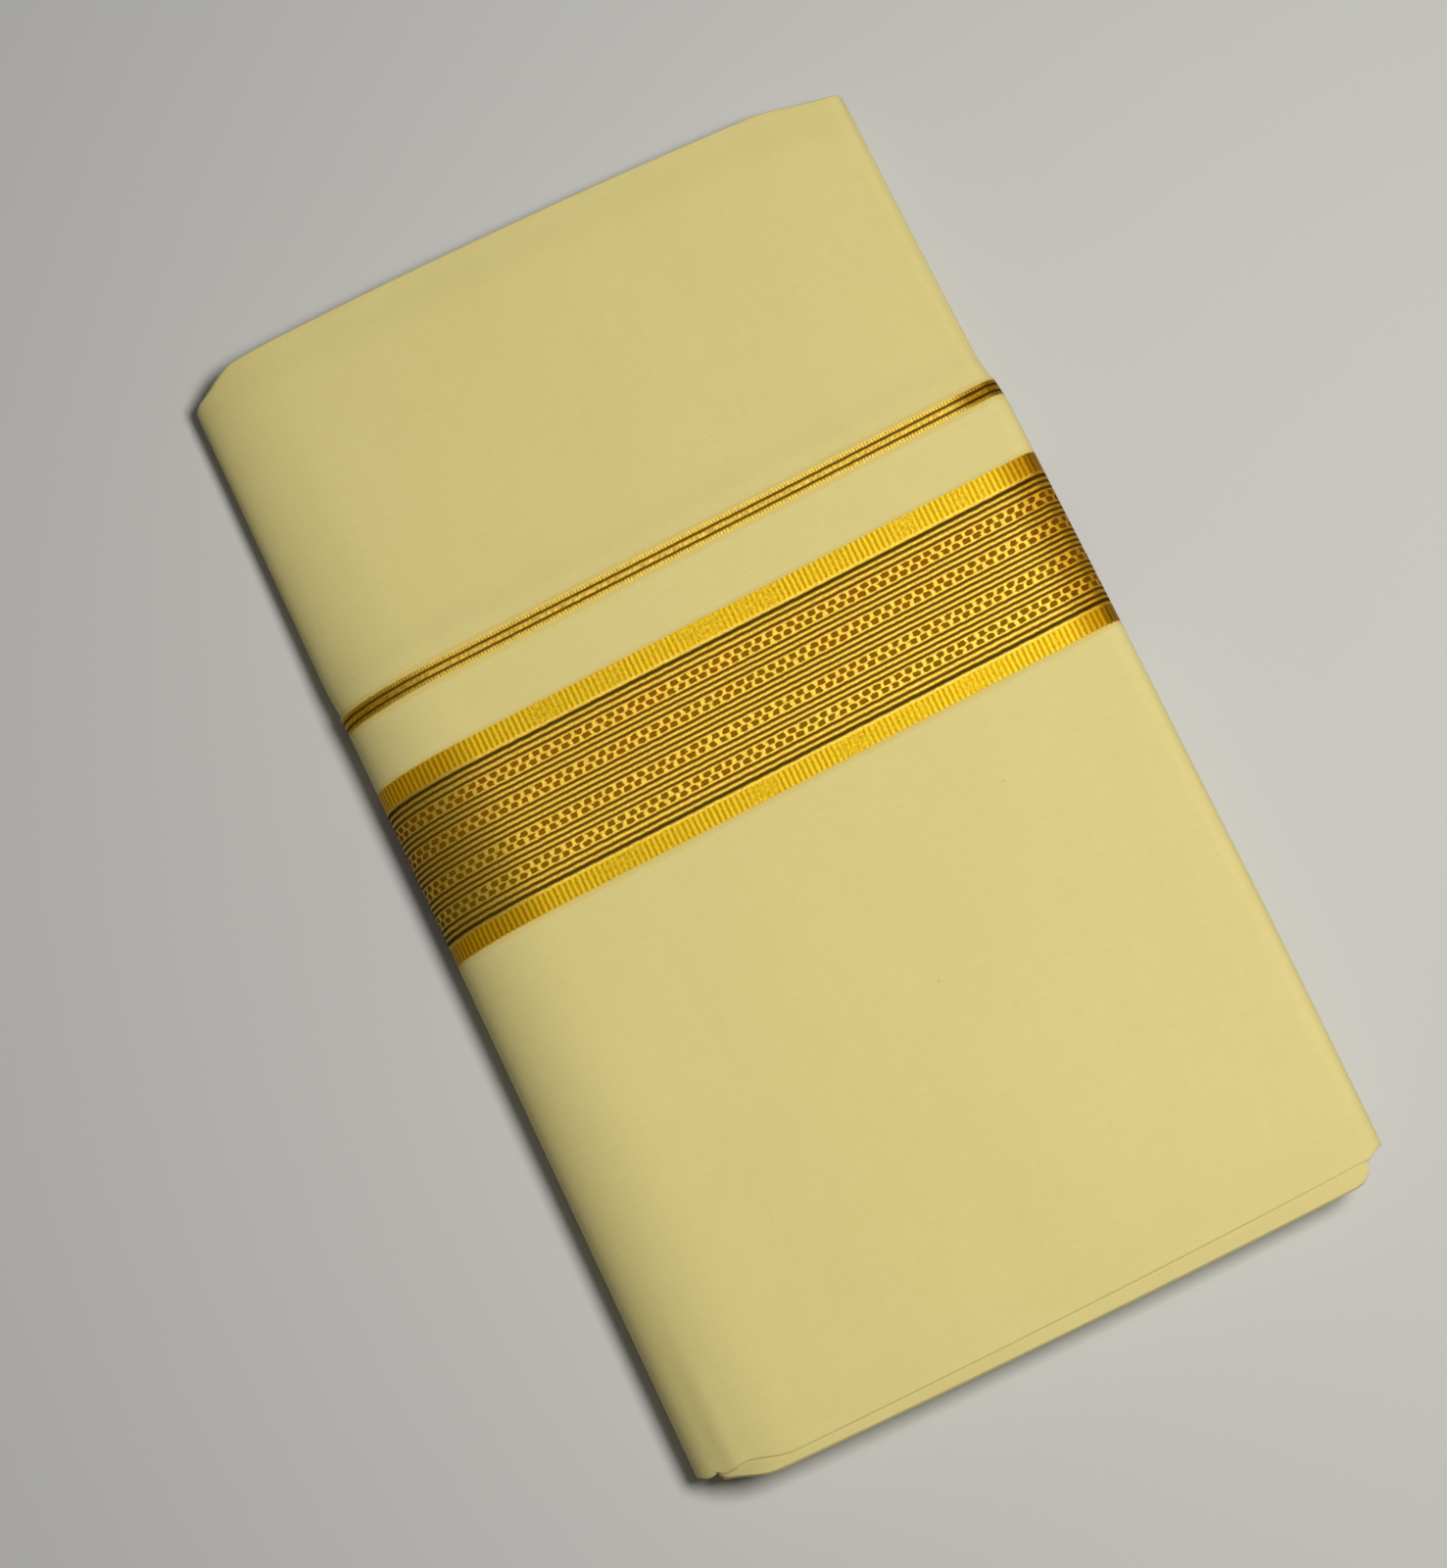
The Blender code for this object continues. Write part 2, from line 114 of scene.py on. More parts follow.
# Heights of the woven borders and of the gap between them, and how far down the wide one lies.
NARROW_BORDER = 0.0068
BORDER_GAP = 0.0194
WIDE_BORDER = 0.0589
WIDE_TOP = NARROW_BORDER + BORDER_GAP
WIDE_FOOT = WIDE_TOP + WIDE_BORDER

# ---- The sheets ----
SHEET = 0.00040  # thickness of a sheet of cloth
TUCK_UNDER = 0.025  # the cloth above the selvedge runs on under the flap this far
TUCK_DEPTH = 0.00055  # and lies this far in from the flap's face there
GUTTER = 0.00035  # the flap's edge presses the cloth in just above it
GUTTER_LENGTH = 0.0045
STEP_RUN = 0.014  # the cloth has come to its own level this far above the flap
TURN_IN = 0.022  # how far a fold's inner side is carried on inside
TURN_IN_SHARES = (0.15, 0.5, 1.0)  # with rows at these shares of that
ROLL_STEPS = 8
SKIN = 0.00050  # room for a sheet round the ribbon
SHEET_SMOOTH = math.radians(38)  # edges that bend less than this are shaded smooth
RIBBON_SMOOTH = math.radians(50)


def mix(a, b, share):
    return a + (b - a) * share


def ease(share):
    """0 to 1 with no corner at either end."""
    share = np.clip(share, 0.0, 1.0)
    return share * share * (3.0 - 2.0 * share)


def bump(distance):
    """1 at 0, and 0 from a distance of 1 on either side."""
    return ease(1.0 - np.abs(distance))


# ---- Outline of the pack, seen from above ----


def selvedge_y(x):
    return SELVEDGE_Y + BORDER_SLANT * x


def above_selvedge(x, y):
    """0 on the flap, 1 above it."""
    return ease((y - selvedge_y(x)) / BLEND_LENGTH + 0.5)


def spine_x(y):
    """The outermost line of the rounded spine."""
    return -HALF_WIDTH + FLAP_TUCK * (1.0 - above_selvedge(-HALF_WIDTH, y))


def open_x(y):
    """The outermost line of the upper panels' open fold."""
    foot = 1.0 - ease((y - FRONT_EDGE_Y) / FOOT_LENGTH)
    return HALF_WIDTH - BODY_TUCK * above_selvedge(HALF_WIDTH, y) - FOOT_TUCK * foot


def lower_open_x(y):
    """The outermost line of the lower panels at the open side."""
    foot = 1.0 - ease((y - LOW_EDGE_Y) / LOWER_FOOT_LENGTH)
    return open_x(y) - LOWER_RECESS - LOWER_FOOT_TUCK * foot


def top_edge(x):
    """Centre fold of the cloth."""
    at_spine = ease((TOP_CORNER_FLAT - x - HALF_WIDTH) / TOP_CORNER_LENGTH[0] + 1.0)
    at_open = ease((TOP_CORNER_FLAT + x - HALF_WIDTH) / TOP_CORNER_LENGTH[1] + 1.0)
    return TOP_Y - TOP_BOW * (x / HALF_WIDTH) ** 2 - TOP_CORNER_RISE * (at_spine + at_open)


def rise_at_spine(x, start):
    """1 near the spine, and 0 from a little further in."""
    return 1.0 - ease((x + HALF_WIDTH - start) / SPINE_RISE_LENGTH)


def front_edge(x):
    """Bottom fold of the front panel."""
    line = FRONT_EDGE_Y + EDGE_SLANT * x + FRONT_BOW * (x / HALF_WIDTH) ** 2
    at_corner = 1.0 - np.clip((HALF_WIDTH - x) / CORNER_LENGTH, 0.0, 1.0) ** 2
    at_spine = rise_at_spine(x, SPINE_RISE_START[0])
    at_tip = ease((TIP_LENGTH - x - HALF_WIDTH) / TIP_LENGTH)
    at_notch = bump((x - NOTCH_X) / NOTCH_HALF)
    spine_end = FRONT_SPINE_RISE * at_spine + TIP_RISE * at_tip + NOTCH_RISE * at_notch
    return line + spine_end + CORNER_RISE * at_corner


def low_edge(x):
    """Bottom fold of the panels below it, away from the corners."""
    line = LOW_EDGE_Y + LOW_BOW * (x / HALF_WIDTH) ** 2
    at_corner = ease((x - HALF_WIDTH + LOW_CORNER_START) / CORNER_LENGTH)
    at_spine = rise_at_spine(x, SPINE_RISE_START[1])
    return line + LOW_SPINE_RISE * at_spine + LOW_CORNER_RISE * at_corner


def hidden_edge(x, upper):
    """Bottom fold of the lower (0) or upper (1) hidden panels, with its steps near the corners."""
    at_spine = ease((STEP_X - x) / STEP_WIDTH)
    at_open = upper * ease((x - FOOT_END_X) / FOOT_END_WIDTH)
    return mix(low_edge(x), front_edge(x), np.maximum(at_spine, at_open))


def bottom_fold_y(x, turned):
    """Where the outer panel's bottom fold lies, from underneath (0), round the spine, to the front."""
    return np.where(turned > SPINE_LEVEL, front_edge(x), hidden_edge(x, 0.0))


def flap_fold_y(x, turned):
    """The same with the lip, which only the outer sheet has."""
    lip = ease((LIP_X - x) / LIP_RUN) * (1.0 - ease((STEP_X - x) / LIP_RUN))
    return bottom_fold_y(x, turned) - LIP_DROP * lip * (turned > SPINE_LEVEL)


def centre_fold_y(x, turned):
    """The outer panel's centre fold. Underneath it lies lower, by the slip of the stacks."""
    return top_edge(x) - STACK_SLIP * (1.0 - ease(turned))


def border_y(below_selvedge):
    """A line of the weave, this far below the selvedge."""

    def line(x, _turned):
        return selvedge_y(x) - below_selvedge

    return line


# ---- Heights ----


def flap_height(x, y):
    """Height of the pack's upper surface, without the step at the selvedge."""
    above = np.maximum(y - selvedge_y(x), 0.0)
    height = FLAP_HEIGHT - (FLAP_HEIGHT - SELVEDGE_STEP - BODY_HEIGHT) * (1.0 - np.exp(-above / SETTLE))
    height = height * (1.0 - OPEN_SIDE_DROP * ease((x + HALF_WIDTH) / (2 * HALF_WIDTH)))
    height = height - EDGE_DROOP * (1.0 - ease((y - front_edge(x)) / DROOP_LENGTH))
    return height - EDGE_DROOP * (1.0 - ease((top_edge(x) - y) / DROOP_LENGTH))


def body_inset(x, y, turned):
    """How far the cloth above the selvedge lies in from the flap's face, all round the pack."""
    above = y - selvedge_y(x)
    settled = ease(above / STEP_RUN)
    gutter = GUTTER * bump((above - GUTTER_LENGTH / 3) / GUTTER_LENGTH)
    front = mix(TUCK_DEPTH, SELVEDGE_STEP, settled) + gutter
    underneath = TUCK_DEPTH * (1.0 - settled)
    return mix(underneath, front, ease(turned))


# ---- Creases and soft hollows ----


class Crease(NamedTuple):
    """A soft trough (or, with a depth below 0, a ridge) in one face. Millimetres and degrees."""

    x: float
    y: float
    angle: float  # 90 runs along the pack
    length: float
    width: float
    depth: float


FRONT_CREASES = (
    Crease(-8, 118, 84, 60, 3.0, 0.10),
    Crease(-33, 132, 98, 34, 2.0, 0.07),
    Crease(46, 142, 88, 70, 5.0, -0.12),
    Crease(-62, 150, 80, 48, 6.0, 0.14),
    Crease(74, 108, 12, 52, 4.0, 0.08),
    Crease(-86, 112, 93, 90, 5.0, -0.14),
    Crease(-52, -60, 92, 96, 3.5, 0.12),
    Crease(-12, -82, 88, 120, 3.0, 0.10),
    Crease(31, -52, 95, 70, 4.0, -0.10),
    Crease(58, -112, 86, 84, 6.0, 0.14),
    Crease(-74, -120, 94, 90, 5.0, -0.15),
    Crease(8, -128, 8, 60, 5.0, 0.08),
    Crease(86, -66, 91, 110, 4.0, 0.10),
    Crease(-28, -150, 175, 70, 4.0, -0.09),
    Crease(-99.5, -178, 90, 120, 2.6, -0.36),
    Crease(-105.0, -178, 90, 120, 2.6, 0.34),
    Crease(-98.4, -182.2, 50, 6, 1.1, -0.45),
)
BACK_CREASES = (
    Crease(-40, 120, 87, 90, 5.0, 0.20),
    Crease(22, 96, 96, 60, 4.0, 0.16),
    Crease(64, 132, 85, 70, 6.0, 0.22),
    Crease(-18, -70, 92, 110, 5.0, 0.22),
    Crease(48, -96, 88, 90, 4.0, 0.16),
    Crease(-66, -110, 94, 80, 6.0, 0.20),
    Crease(10, -140, 10, 70, 5.0, 0.14),
)
# Short gathers that run up from the bottom fold: x, length and depth in millimetres.
FRONT_GATHERS = (
    (-26, 7, 0.16),
    (-17, 5, 0.12),
    (-9, 8, 0.18),
    (-1, 5, 0.12),
    (7, 6, 0.14),
    (16, 8, 0.16),
    (25, 5, 0.10),
)
GATHER_WIDTH = 0.0022
HOLLOW = 0.00022  # depth of the broad, soft unevenness
HOLLOW_SIZE = 0.055
HOLLOW_SQUEEZE = 0.7  # along the pack it changes at this share of its rate across
HOLLOW_SEED = 3.7


def crease_depth(x, y, creases):
    depth = np.zeros_like(x)
    for crease in creases:
        angle = math.radians(crease.angle)
        dx = x * 1000 - crease.x
        dy = y * 1000 - crease.y
        along = (dx * math.cos(angle) + dy * math.sin(angle)) / crease.length * 2
        across = (dy * math.cos(angle) - dx * math.sin(angle)) / crease.width
        depth += crease.depth / 1000 * bump(along) * np.exp(-(across**2))
    return depth


def gather_depth(x, y):
    depth = np.zeros_like(x)
    for place, length, deep in FRONT_GATHERS:
        along = (y - front_edge(x)) / (length / 1000)
        depth += deep / 1000 * ease(1.0 - along) * bump((x - place / 1000) / GATHER_WIDTH)
    return depth


def hollow_depth(x, y):
    places = zip((x / HOLLOW_SIZE).tolist(), (y / HOLLOW_SIZE * HOLLOW_SQUEEZE).tolist())
    return HOLLOW * np.array([noise.noise(Vector((*place, HOLLOW_SEED))) for place in places])


def relief(x, y, turned):
    """How far the outer panel lies in from its plain form, on the front and underneath."""
    front = crease_depth(x, y, FRONT_CREASES) + gather_depth(x, y) + hollow_depth(x, y)
    back = np.maximum(crease_depth(x, y, BACK_CREASES), 0.0)
    return mix(back * (turned == 0.0), front, ease(turned * 2.0 - 1.0))


# ---- The outer panel, as a line round the pack from underneath to the crease ----

UNDERSIDE, SPINE_BACK, SPINE_FRONT, FRONT, FOLD, HOOK = range(6)
COLUMN_COUNTS = {UNDERSIDE: 44, SPINE_BACK: 14, SPINE_FRONT: 28, FRONT: 124, FOLD: 14, HOOK: 6}


class Columns(NamedTuple):
    """A sheet's columns round the pack: the stretch that each is in, and its share of it."""

    zone: np.ndarray
    share: np.ndarray


def all_columns():
    zones = []
    shares = []
    for zone, count in COLUMN_COUNTS.items():
        for i in range(count):
            zones.append(zone)
            shares.append(i / count)
    return Columns(np.array(zones + [HOOK]), np.array(shares + [1.0]))


COLUMNS = all_columns()


def outer_line(y):
    """The outer panel's form at each column's own y: x, z and its share of the way to the front."""
    zone, share = COLUMNS
    left = spine_x(y)
    right = open_x(y)
    front_start = left + SPINE_REACH_TOP
    spine_top = flap_height(front_start, y)
    level = SPINE_LEVEL * spine_top
    fold_start = right - FOLD_REACH
    fold_top = flap_height(fold_start, y)
    fold_low = fold_top / 2 + SEAM
    fold_half = (fold_top - fold_low) / 2
    back_angle = (share - 1.0) * math.pi / 2
    front_angle = share * math.pi / 2
    fold_angle = (0.5 - share) * math.pi
    front_x = mix(front_start, fold_start, share)
    hook_x = fold_start - HOOK_LENGTH * share
    stretches = [zone == stretch for stretch in (UNDERSIDE, SPINE_BACK, SPINE_FRONT, FRONT, FOLD)]
    x = np.select(
        stretches,
        [
            mix(lower_open_x(y), left + SPINE_REACH_BACK, share),
            left + SPINE_REACH_BACK * (1.0 - np.cos(back_angle)),
            left + SPINE_REACH_TOP * (1.0 - np.cos(front_angle)),
            front_x,
            fold_start + FOLD_REACH * np.cos(fold_angle),
        ],
        hook_x,
    )
    z = np.select(
        stretches,
        [
            np.zeros_like(y),
            level * (1.0 + np.sin(back_angle)),
            level + (spine_top - level) * np.sin(front_angle),
            flap_height(front_x, y),
            fold_low + fold_half * (1.0 + np.sin(fold_angle)),
        ],
        flap_height(hook_x, y) / 2 + SEAM,
    )
    turned = np.select([zone == UNDERSIDE, zone >= FRONT], [0.0, 1.0], z / spine_top)
    return x, z, turned


def line_y(low, high, share):
    """Each column's y, at a share of the way from one line to another."""
    guess = np.full(len(COLUMNS.zone), mix(low(0.0, 1.0), high(0.0, 1.0), share))
    x, _, turned = outer_line(guess)
    return mix(low(x, turned), high(x, turned), share)


def place_row(y, inset):
    """The points of one row of a sheet, which lies this far in from the outer line."""
    x, z, _ = outer_line(y)
    dx = np.gradient(x)
    dz = np.gradient(z)
    length = np.hypot(dx, dz)
    return np.stack([x + inset * dz / length, y, z - inset * dx / length], axis=1)


def panel_thickness(y):
    """Thickness of the outer panel at its folded edges."""
    x, _, _ = outer_line(y)
    return flap_height(x, y) / PANELS


def sheet_inset(x, y, turned, on_body):
    """How far a sheet lies in from the outer line, on the flap or on the body above it."""
    inset = relief(x, y, turned)
    return inset + body_inset(x, y, turned) if on_body else inset


def sheet_rows(low, high, shares, on_body=False):
    """Rows of a sheet, at shares of the way from one line to another."""
    rows = []
    for share in shares:
        y = line_y(low, high, share)
        x, _, turned = outer_line(y)
        rows.append(place_row(y, sheet_inset(x, y, turned, on_body)))
    return rows


def rolled_rows(edge, outward, on_body):
    """Rows that carry a sheet round a fold at its edge and back inside. Outward is -1 or 1 along Y."""
    edge_y = line_y(edge, edge, 0.0)
    x, _, turned = outer_line(edge_y)
    inset = sheet_inset(x, edge_y, turned, on_body)
    thickness = panel_thickness(edge_y)
    if on_body:
        thickness = thickness - SELVEDGE_STEP / PANELS
    rows = []
    for angle in np.linspace(0.0, math.pi, ROLL_STEPS + 1):
        y = edge_y + outward * thickness / 2 * (math.sin(angle) - 1.0)
        rows.append(place_row(y, inset + thickness * (1.0 - math.cos(angle)) / 2))
    for share in TURN_IN_SHARES:
        y = edge_y - outward * (thickness / 2 + TURN_IN * share)
        rows.append(place_row(y, inset + thickness))
    return rows


# ---- Making a sheet ----


def deselect():
    for item in bpy.context.selected_objects:
        item.select_set(False)


def grid_piece(name, points, u, v):
    """A grid moved to these points, rows by columns, with the cloth's own measure as its UV map."""
    rows, columns = points.shape[:2]
    deselect()
    bpy.ops.mesh.primitive_grid_add(x_subdivisions=columns - 1, y_subdivisions=rows - 1, size=1.0)
    piece = bpy.context.object
    piece.name = name
    mesh = piece.data
    mesh.name = name
    flat = np.empty(len(mesh.vertices) * 3)
    mesh.vertices.foreach_get("co", flat)
    flat = flat.reshape(-1, 3)
    column = np.rint((flat[:, 0] + 0.5) * (columns - 1)).astype(int)
    row = np.rint((flat[:, 1] + 0.5) * (rows - 1)).astype(int)
    mesh.vertices.foreach_set("co", points[row, column].ravel())
    corners = np.empty(len(mesh.loops), int)
    mesh.loops.foreach_get("vertex_index", corners)
    measure = np.stack([u[row, column], v[row, column]], axis=1)[corners]
    mesh.uv_layers.active.name = "cloth"
    mesh.uv_layers["cloth"].data.foreach_set("uv", measure.ravel())
    mesh.update()
    return piece


def thicken(piece, thickness):
    solid = piece.modifiers.new("thickness", "SOLIDIFY")
    solid.thickness = thickness
    solid.offset = -1.0
    solid.use_even_offset = True
    bpy.ops.object.modifier_apply(modifier=solid.name)
    bpy.ops.object.shade_smooth_by_angle(angle=SHEET_SMOOTH)


def sheet(name, rows, known_row, below_selvedge, material):
    """A sheet of cloth through rows of points, and its flat size.

    One row lies a known way below the selvedge, and the weave is measured from there. Across, it is
    measured from the middle of the front.
    """
    points = np.array(rows)
    around = np.linalg.norm(np.diff(points[known_row], axis=0), axis=1)
    u = np.concatenate([[0.0], np.cumsum(around)])
    u = u - u[np.argmax(COLUMNS.zone == FRONT)] - HALF_WIDTH + SPINE_REACH_TOP
    down = np.linalg.norm(np.diff(points, axis=0), axis=2)
    v = np.concatenate([np.zeros((1, points.shape[1])), np.cumsum(down, axis=0)])
    v = below_selvedge + v[known_row] - v
    piece = grid_piece(name, points, np.broadcast_to(u, v.shape), v)
    thicken(piece, SHEET)
    piece.data.materials.append(material)
    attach(piece, "root")
    flat = (float(u[-1] - u[0]), float(v.mean(axis=1).max() - v.mean(axis=1).min()))
    return piece, flat


# ---- The hidden layers, as one ribbon ----

SPINE_STEPS = 32  # stations round a fold at the spine
OPEN_STEPS = 10  # and at the open side
FLAT_STEPS = 24
FLAT_ENDS = (0.003, 0.010, 0.025)  # extra stations near both ends of a layer's flat part
RIM_STEPS = 4
LAYER_FILL = 0.90  # share of its room that a layer takes up
LAYER_RECESS = 0.0003  # the hidden layers stand back from the outer panel's folds
LAYER_WANDER = 0.0007  # and each by up to this much more
FULL_LAYER = PANELS - 2  # the one below the front panel reaches out the furthest
FULL_RECESS = 0.00005
NEST = 0.93  # the folds at the spine lie a little closer than the layers
UPPER_FOLD_INSET = 0.0012  # each open fold of the upper stack lies this much inside the one round it
UPPER_FOLD_WANDER = 0.0004
LOWER_FOLD_INSET = 0.0004
LOWER_FOLD_WANDER = 0.0006
INNER_FOLD = 5  # the lower stack's fold above this layer lies inside another
INNER_FOLD_INSET = 0.0016
LOWER_REACH = 0.0010  # how far in the curve of a fold of the lower stack runs
LOWER_REACH_STEP = 0.0008  # and how much further for each layer that it spans
RAW_END_INSET = 0.0006
# Rows of a layer: up to the wide border, over it, over the gap, over the narrow border, over the
# step above the selvedge, and on to the centre fold.
ROWS_BETWEEN = (9, 4, 2, 1, 6, 6)


def fold_order():
    """The strip's panels from the lowest layer to the highest, after it is halved again and again."""
    piles = [[panel] for panel in range(PANELS)]
    while len(piles) > 1:
        half = len(piles) // 2
        piles = [under + over[::-1] for under, over in zip(piles[:half], piles[::-1])]
    return piles[0]


def wander(layer, salt):
    """A fixed, uneven number from 0 to 1 for each layer."""
    return (math.sin(layer * 12.9898 + salt * 78.233) * 43758.5453) % 1.0


def pack_top(x, y):
    """Height of the pack's upper surface, with the step at the selvedge."""
    return flap_height(x, y) - body_inset(x, y, 1.0) * (y > selvedge_y(x))


def layer_pitch(x, y, stack):
    """Height of one layer of the lower stack (0) or the upper (1)."""
    crease = flap_height(x, y) / 2
    if stack:
        return (pack_top(x, y) - crease - SEAM - 2 * SKIN) / (PANELS // 2)
    return (crease - SEAM - SKIN) / (PANELS // 2)


def layer_z(x, y, layer):
    """Middle height of a layer."""
    stack, level = divmod(layer, PANELS // 2)
    start = flap_height(x, y) / 2 + SEAM + SKIN if stack else SKIN
    return start + (level + 0.5) * layer_pitch(x, y, stack)


class Turn(NamedTuple):
    """A fold that joins two layers."""

    low: int
    high: int
    edge: object  # the outermost line, as a function of y
    side: int  # -1 at the spine, 1 at the open side
    inset: float  # how far in from that line the fold lies
    reach_low: float  # how far in x its curve runs below, and above
    reach_high: float
    level: float = 0.5  # it lies outermost at this share of its height


def spine_turn(layer):
    low = min(layer, PANELS - 1 - layer)
    inset = NEST * (SKIN + (low + 0.5) * FLAP_HEIGHT / (PANELS + 1))
    reaches = (SPINE_REACH_BACK - inset, SPINE_REACH_TOP - inset)
    return Turn(low, PANELS - 1 - low, spine_x, -1, inset, *reaches, SPINE_LEVEL)


def open_turn(a, b):
    low, high = sorted((a, b))
    above_crease = low - PANELS // 2
    if above_crease >= 0:
        inset = SKIN + UPPER_FOLD_INSET * above_crease + UPPER_FOLD_WANDER * wander(low, 1)
        reach = FOLD_REACH - inset
        return Turn(low, high, open_x, 1, inset, reach, reach)
    further_in = INNER_FOLD_INSET if low == INNER_FOLD else 0.0
    inset = LOWER_FOLD_INSET + further_in + LOWER_FOLD_WANDER * wander(low, 2)
    reach = LOWER_REACH + LOWER_REACH_STEP * (high - low)
    return Turn(low, high, lower_open_x, 1, inset, reach, reach)


def turn_point(turn, share, y):
    """The x and z of a fold, from its lower layer (share 0) to its upper (1)."""
    angle = (share - 0.5) * math.pi
    reach = turn.reach_low if angle < 0.0 else turn.reach_high
    outermost = turn.edge(y) - turn.side * turn.inset
    x = outermost - turn.side * reach * (1.0 - math.cos(angle))
    start = outermost - turn.side * turn.reach_low
    end = outermost - turn.side * turn.reach_high
    low = layer_z(start, y, turn.low)
    high = layer_z(end, y, turn.high)
    beyond = turn.level if angle < 0.0 else 1.0 - turn.level
    return x, mix(low, high, turn.level + beyond * math.sin(angle))


def flat_end(turn, layer, y):
    """Where a layer's flat part ends at a fold."""
    reach = turn.reach_low if layer == turn.low else turn.reach_high
    return turn.edge(y) - turn.side * (turn.inset + reach)


def raw_end(y):
    """Where the strip's own two ends lie."""
    return lower_open_x(y) - RAW_END_INSET


class Station(NamedTuple):
    """A place along the strip, on a layer's flat part or on a fold."""

    place: object  # a function of y and share that gives x and z
    share: float
    layer: int
    other: int  # the layer that a fold leads to
    risen: float  # 0 in the lower stack, 1 in the upper


def flat_stations(layer, before, after):
    """Stations along a layer's flat part, from the fold before it to the fold after it."""

    def on_flat(y, share):
        start = flat_end(before, layer, y) if before else raw_end(y)
        end = flat_end(after, layer, y) if after else raw_end(y)
        x = mix(start, end, share)
        return x, layer_z(x, y, layer)

    risen = float(layer >= PANELS // 2)
    shares = ((1.0 - np.cos(np.linspace(0.0, math.pi, FLAT_STEPS + 1))) / 2).tolist()
    shares = sorted(shares + [*FLAT_ENDS] + [1.0 - end for end in FLAT_ENDS])
    return [Station(on_flat, share, layer, layer, risen) for share in shares]


def turn_stations(layer, turn):
    """Stations round the fold that leads on from a layer."""
    up = layer == turn.low
    other = turn.high if up else turn.low

    def on_turn(y, share):
        return turn_point(turn, share if up else 1.0 - share, y)

    start, end = (float(one >= PANELS // 2) for one in (layer, other))
    steps = SPINE_STEPS if turn.side < 0 else OPEN_STEPS
    stations = []
    for share in np.linspace(0.0, 1.0, steps + 1)[1:-1]:
        risen = mix(start, end, (1.0 - math.cos(share * math.pi)) / 2)
        stations.append(Station(on_turn, share, layer, other, risen))
    return stations


def strip_stations():
    """Stations along the whole strip, from one of its ends to the other."""
    order = fold_order()
    layers = [order.index(panel) for panel in range(PANELS)]
    turns = []
    for panel, (a, b) in enumerate(zip(layers, layers[1:])):
        turns.append(spine_turn(a) if panel % 2 == 0 else open_turn(a, b))
    stations = []
    for layer, before, after in zip(layers, [None, *turns], [*turns, None]):
        stations += flat_stations(layer, before, after)
        if after:
            stations += turn_stations(layer, after)
    return stations


def strip_point(station, y):
    """The x and z of the strip at a station, for an array of y."""
    x, z = station.place(y, station.share)
    return x * np.ones_like(y), z * np.ones_like(y)


def strip_lines(station):
    """The y of a layer's low rim, the weave's lines and its high rim, at one station."""
    place, share, layer, other, risen = station
    x, _ = place(0.0, share)
    wandered = mix(wander(layer, 3), wander(other, 3), 0.5)
    back = LAYER_RECESS + LAYER_WANDER * wandered
    low = hidden_edge(x, risen) + (FULL_RECESS if layer == FULL_LAYER else back)
    high = centre_fold_y(x, risen) - back
    selvedge = selvedge_y(x)
    lines = [low, selvedge - WIDE_FOOT, selvedge - WIDE_TOP, selvedge - NARROW_BORDER, selvedge]
    return lines + [selvedge + STEP_RUN, high]


def strip_rows(lines):
    rows = []
    for start, end, count in zip(lines, lines[1:], ROWS_BETWEEN):
        rows += [mix(start, end, i / count) for i in range(count)]
    return np.array(rows + [lines[-1]])


def strip_half(station, y):
    """Half the thickness of the ribbon at a station, for an array of y."""
    x, _ = strip_point(station, y)
    pitch = mix(layer_pitch(x, y, 0), layer_pitch(x, y, 1), station.risen)
    under_sheet = any(one in (0, PANELS // 2, PANELS - 1) for one in (station.layer, station.other))
    return (pitch * LAYER_FILL - (SHEET if under_sheet else 0.0)) / 2


def ribbon_section(station):
    """A section through the ribbon: its middle's x, y and z, and how far out each point lies."""
    rows = strip_rows(strip_lines(station))
    half = strip_half(station, rows)
    low, high = rows[0] + half[0], rows[-1] - half[-1]
    face = np.concatenate([[low], rows[1:-1], [high]])
    rims = np.linspace(0.0, math.pi, RIM_STEPS + 1)[1:-1]
    high_rim = high + half[-1] * np.sin(rims)
    low_rim = low - half[0] * np.sin(rims)
    y = np.concatenate([face, high_rim, face[::-1], low_rim, face[:1]])
    high_out = half[-1] * np.cos(rims)
    low_out = -half[0] * np.cos(rims)
    offset = np.concatenate([half, high_out, -half[::-1], low_out, half[:1]])
    x, z = strip_point(station, y)
    return x, y, z, offset


def folded_ribbon(cotton, narrow_zari, wide_zari):
    sections = [ribbon_section(station) for station in strip_stations()]
    x, y, z, offset = (np.array(values).T for values in zip(*sections))
    dx = np.gradient(x, axis=1)
    dz = np.gradient(z, axis=1)
    length = np.hypot(dx, dz)
    points = np.stack([x - offset * dz / length, y, z + offset * dx / length], axis=2)
    middle = len(y) // 4
    u = np.concatenate([[0.0], np.cumsum(np.hypot(np.diff(x[middle]), np.diff(z[middle])))])
    v = selvedge_y(x) - y
    piece = grid_piece("folded_layers_ribbon", points, np.broadcast_to(u, v.shape), v)
    close_ribbon()
    for material in (cotton, wide_zari, narrow_zari):
        piece.data.materials.append(material)
    paint_borders(piece, sum(ROWS_BETWEEN) * (len(sections) - 1))
    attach(piece, "root")
    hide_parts("folded_layers")


def close_ribbon():
    """Joins the ribbon's first row to its last and closes its two ends."""
    bpy.ops.object.mode_set(mode="EDIT")
    bpy.ops.mesh.select_all(action="SELECT")
    bpy.ops.mesh.remove_doubles(threshold=1e-6)
    bpy.ops.mesh.fill_holes(sides=0)
    bpy.ops.mesh.select_all(action="SELECT")
    bpy.ops.mesh.normals_make_consistent(inside=False)
    bpy.ops.object.mode_set(mode="OBJECT")
    bpy.ops.object.shade_smooth_by_angle(angle=RIBBON_SMOOTH)


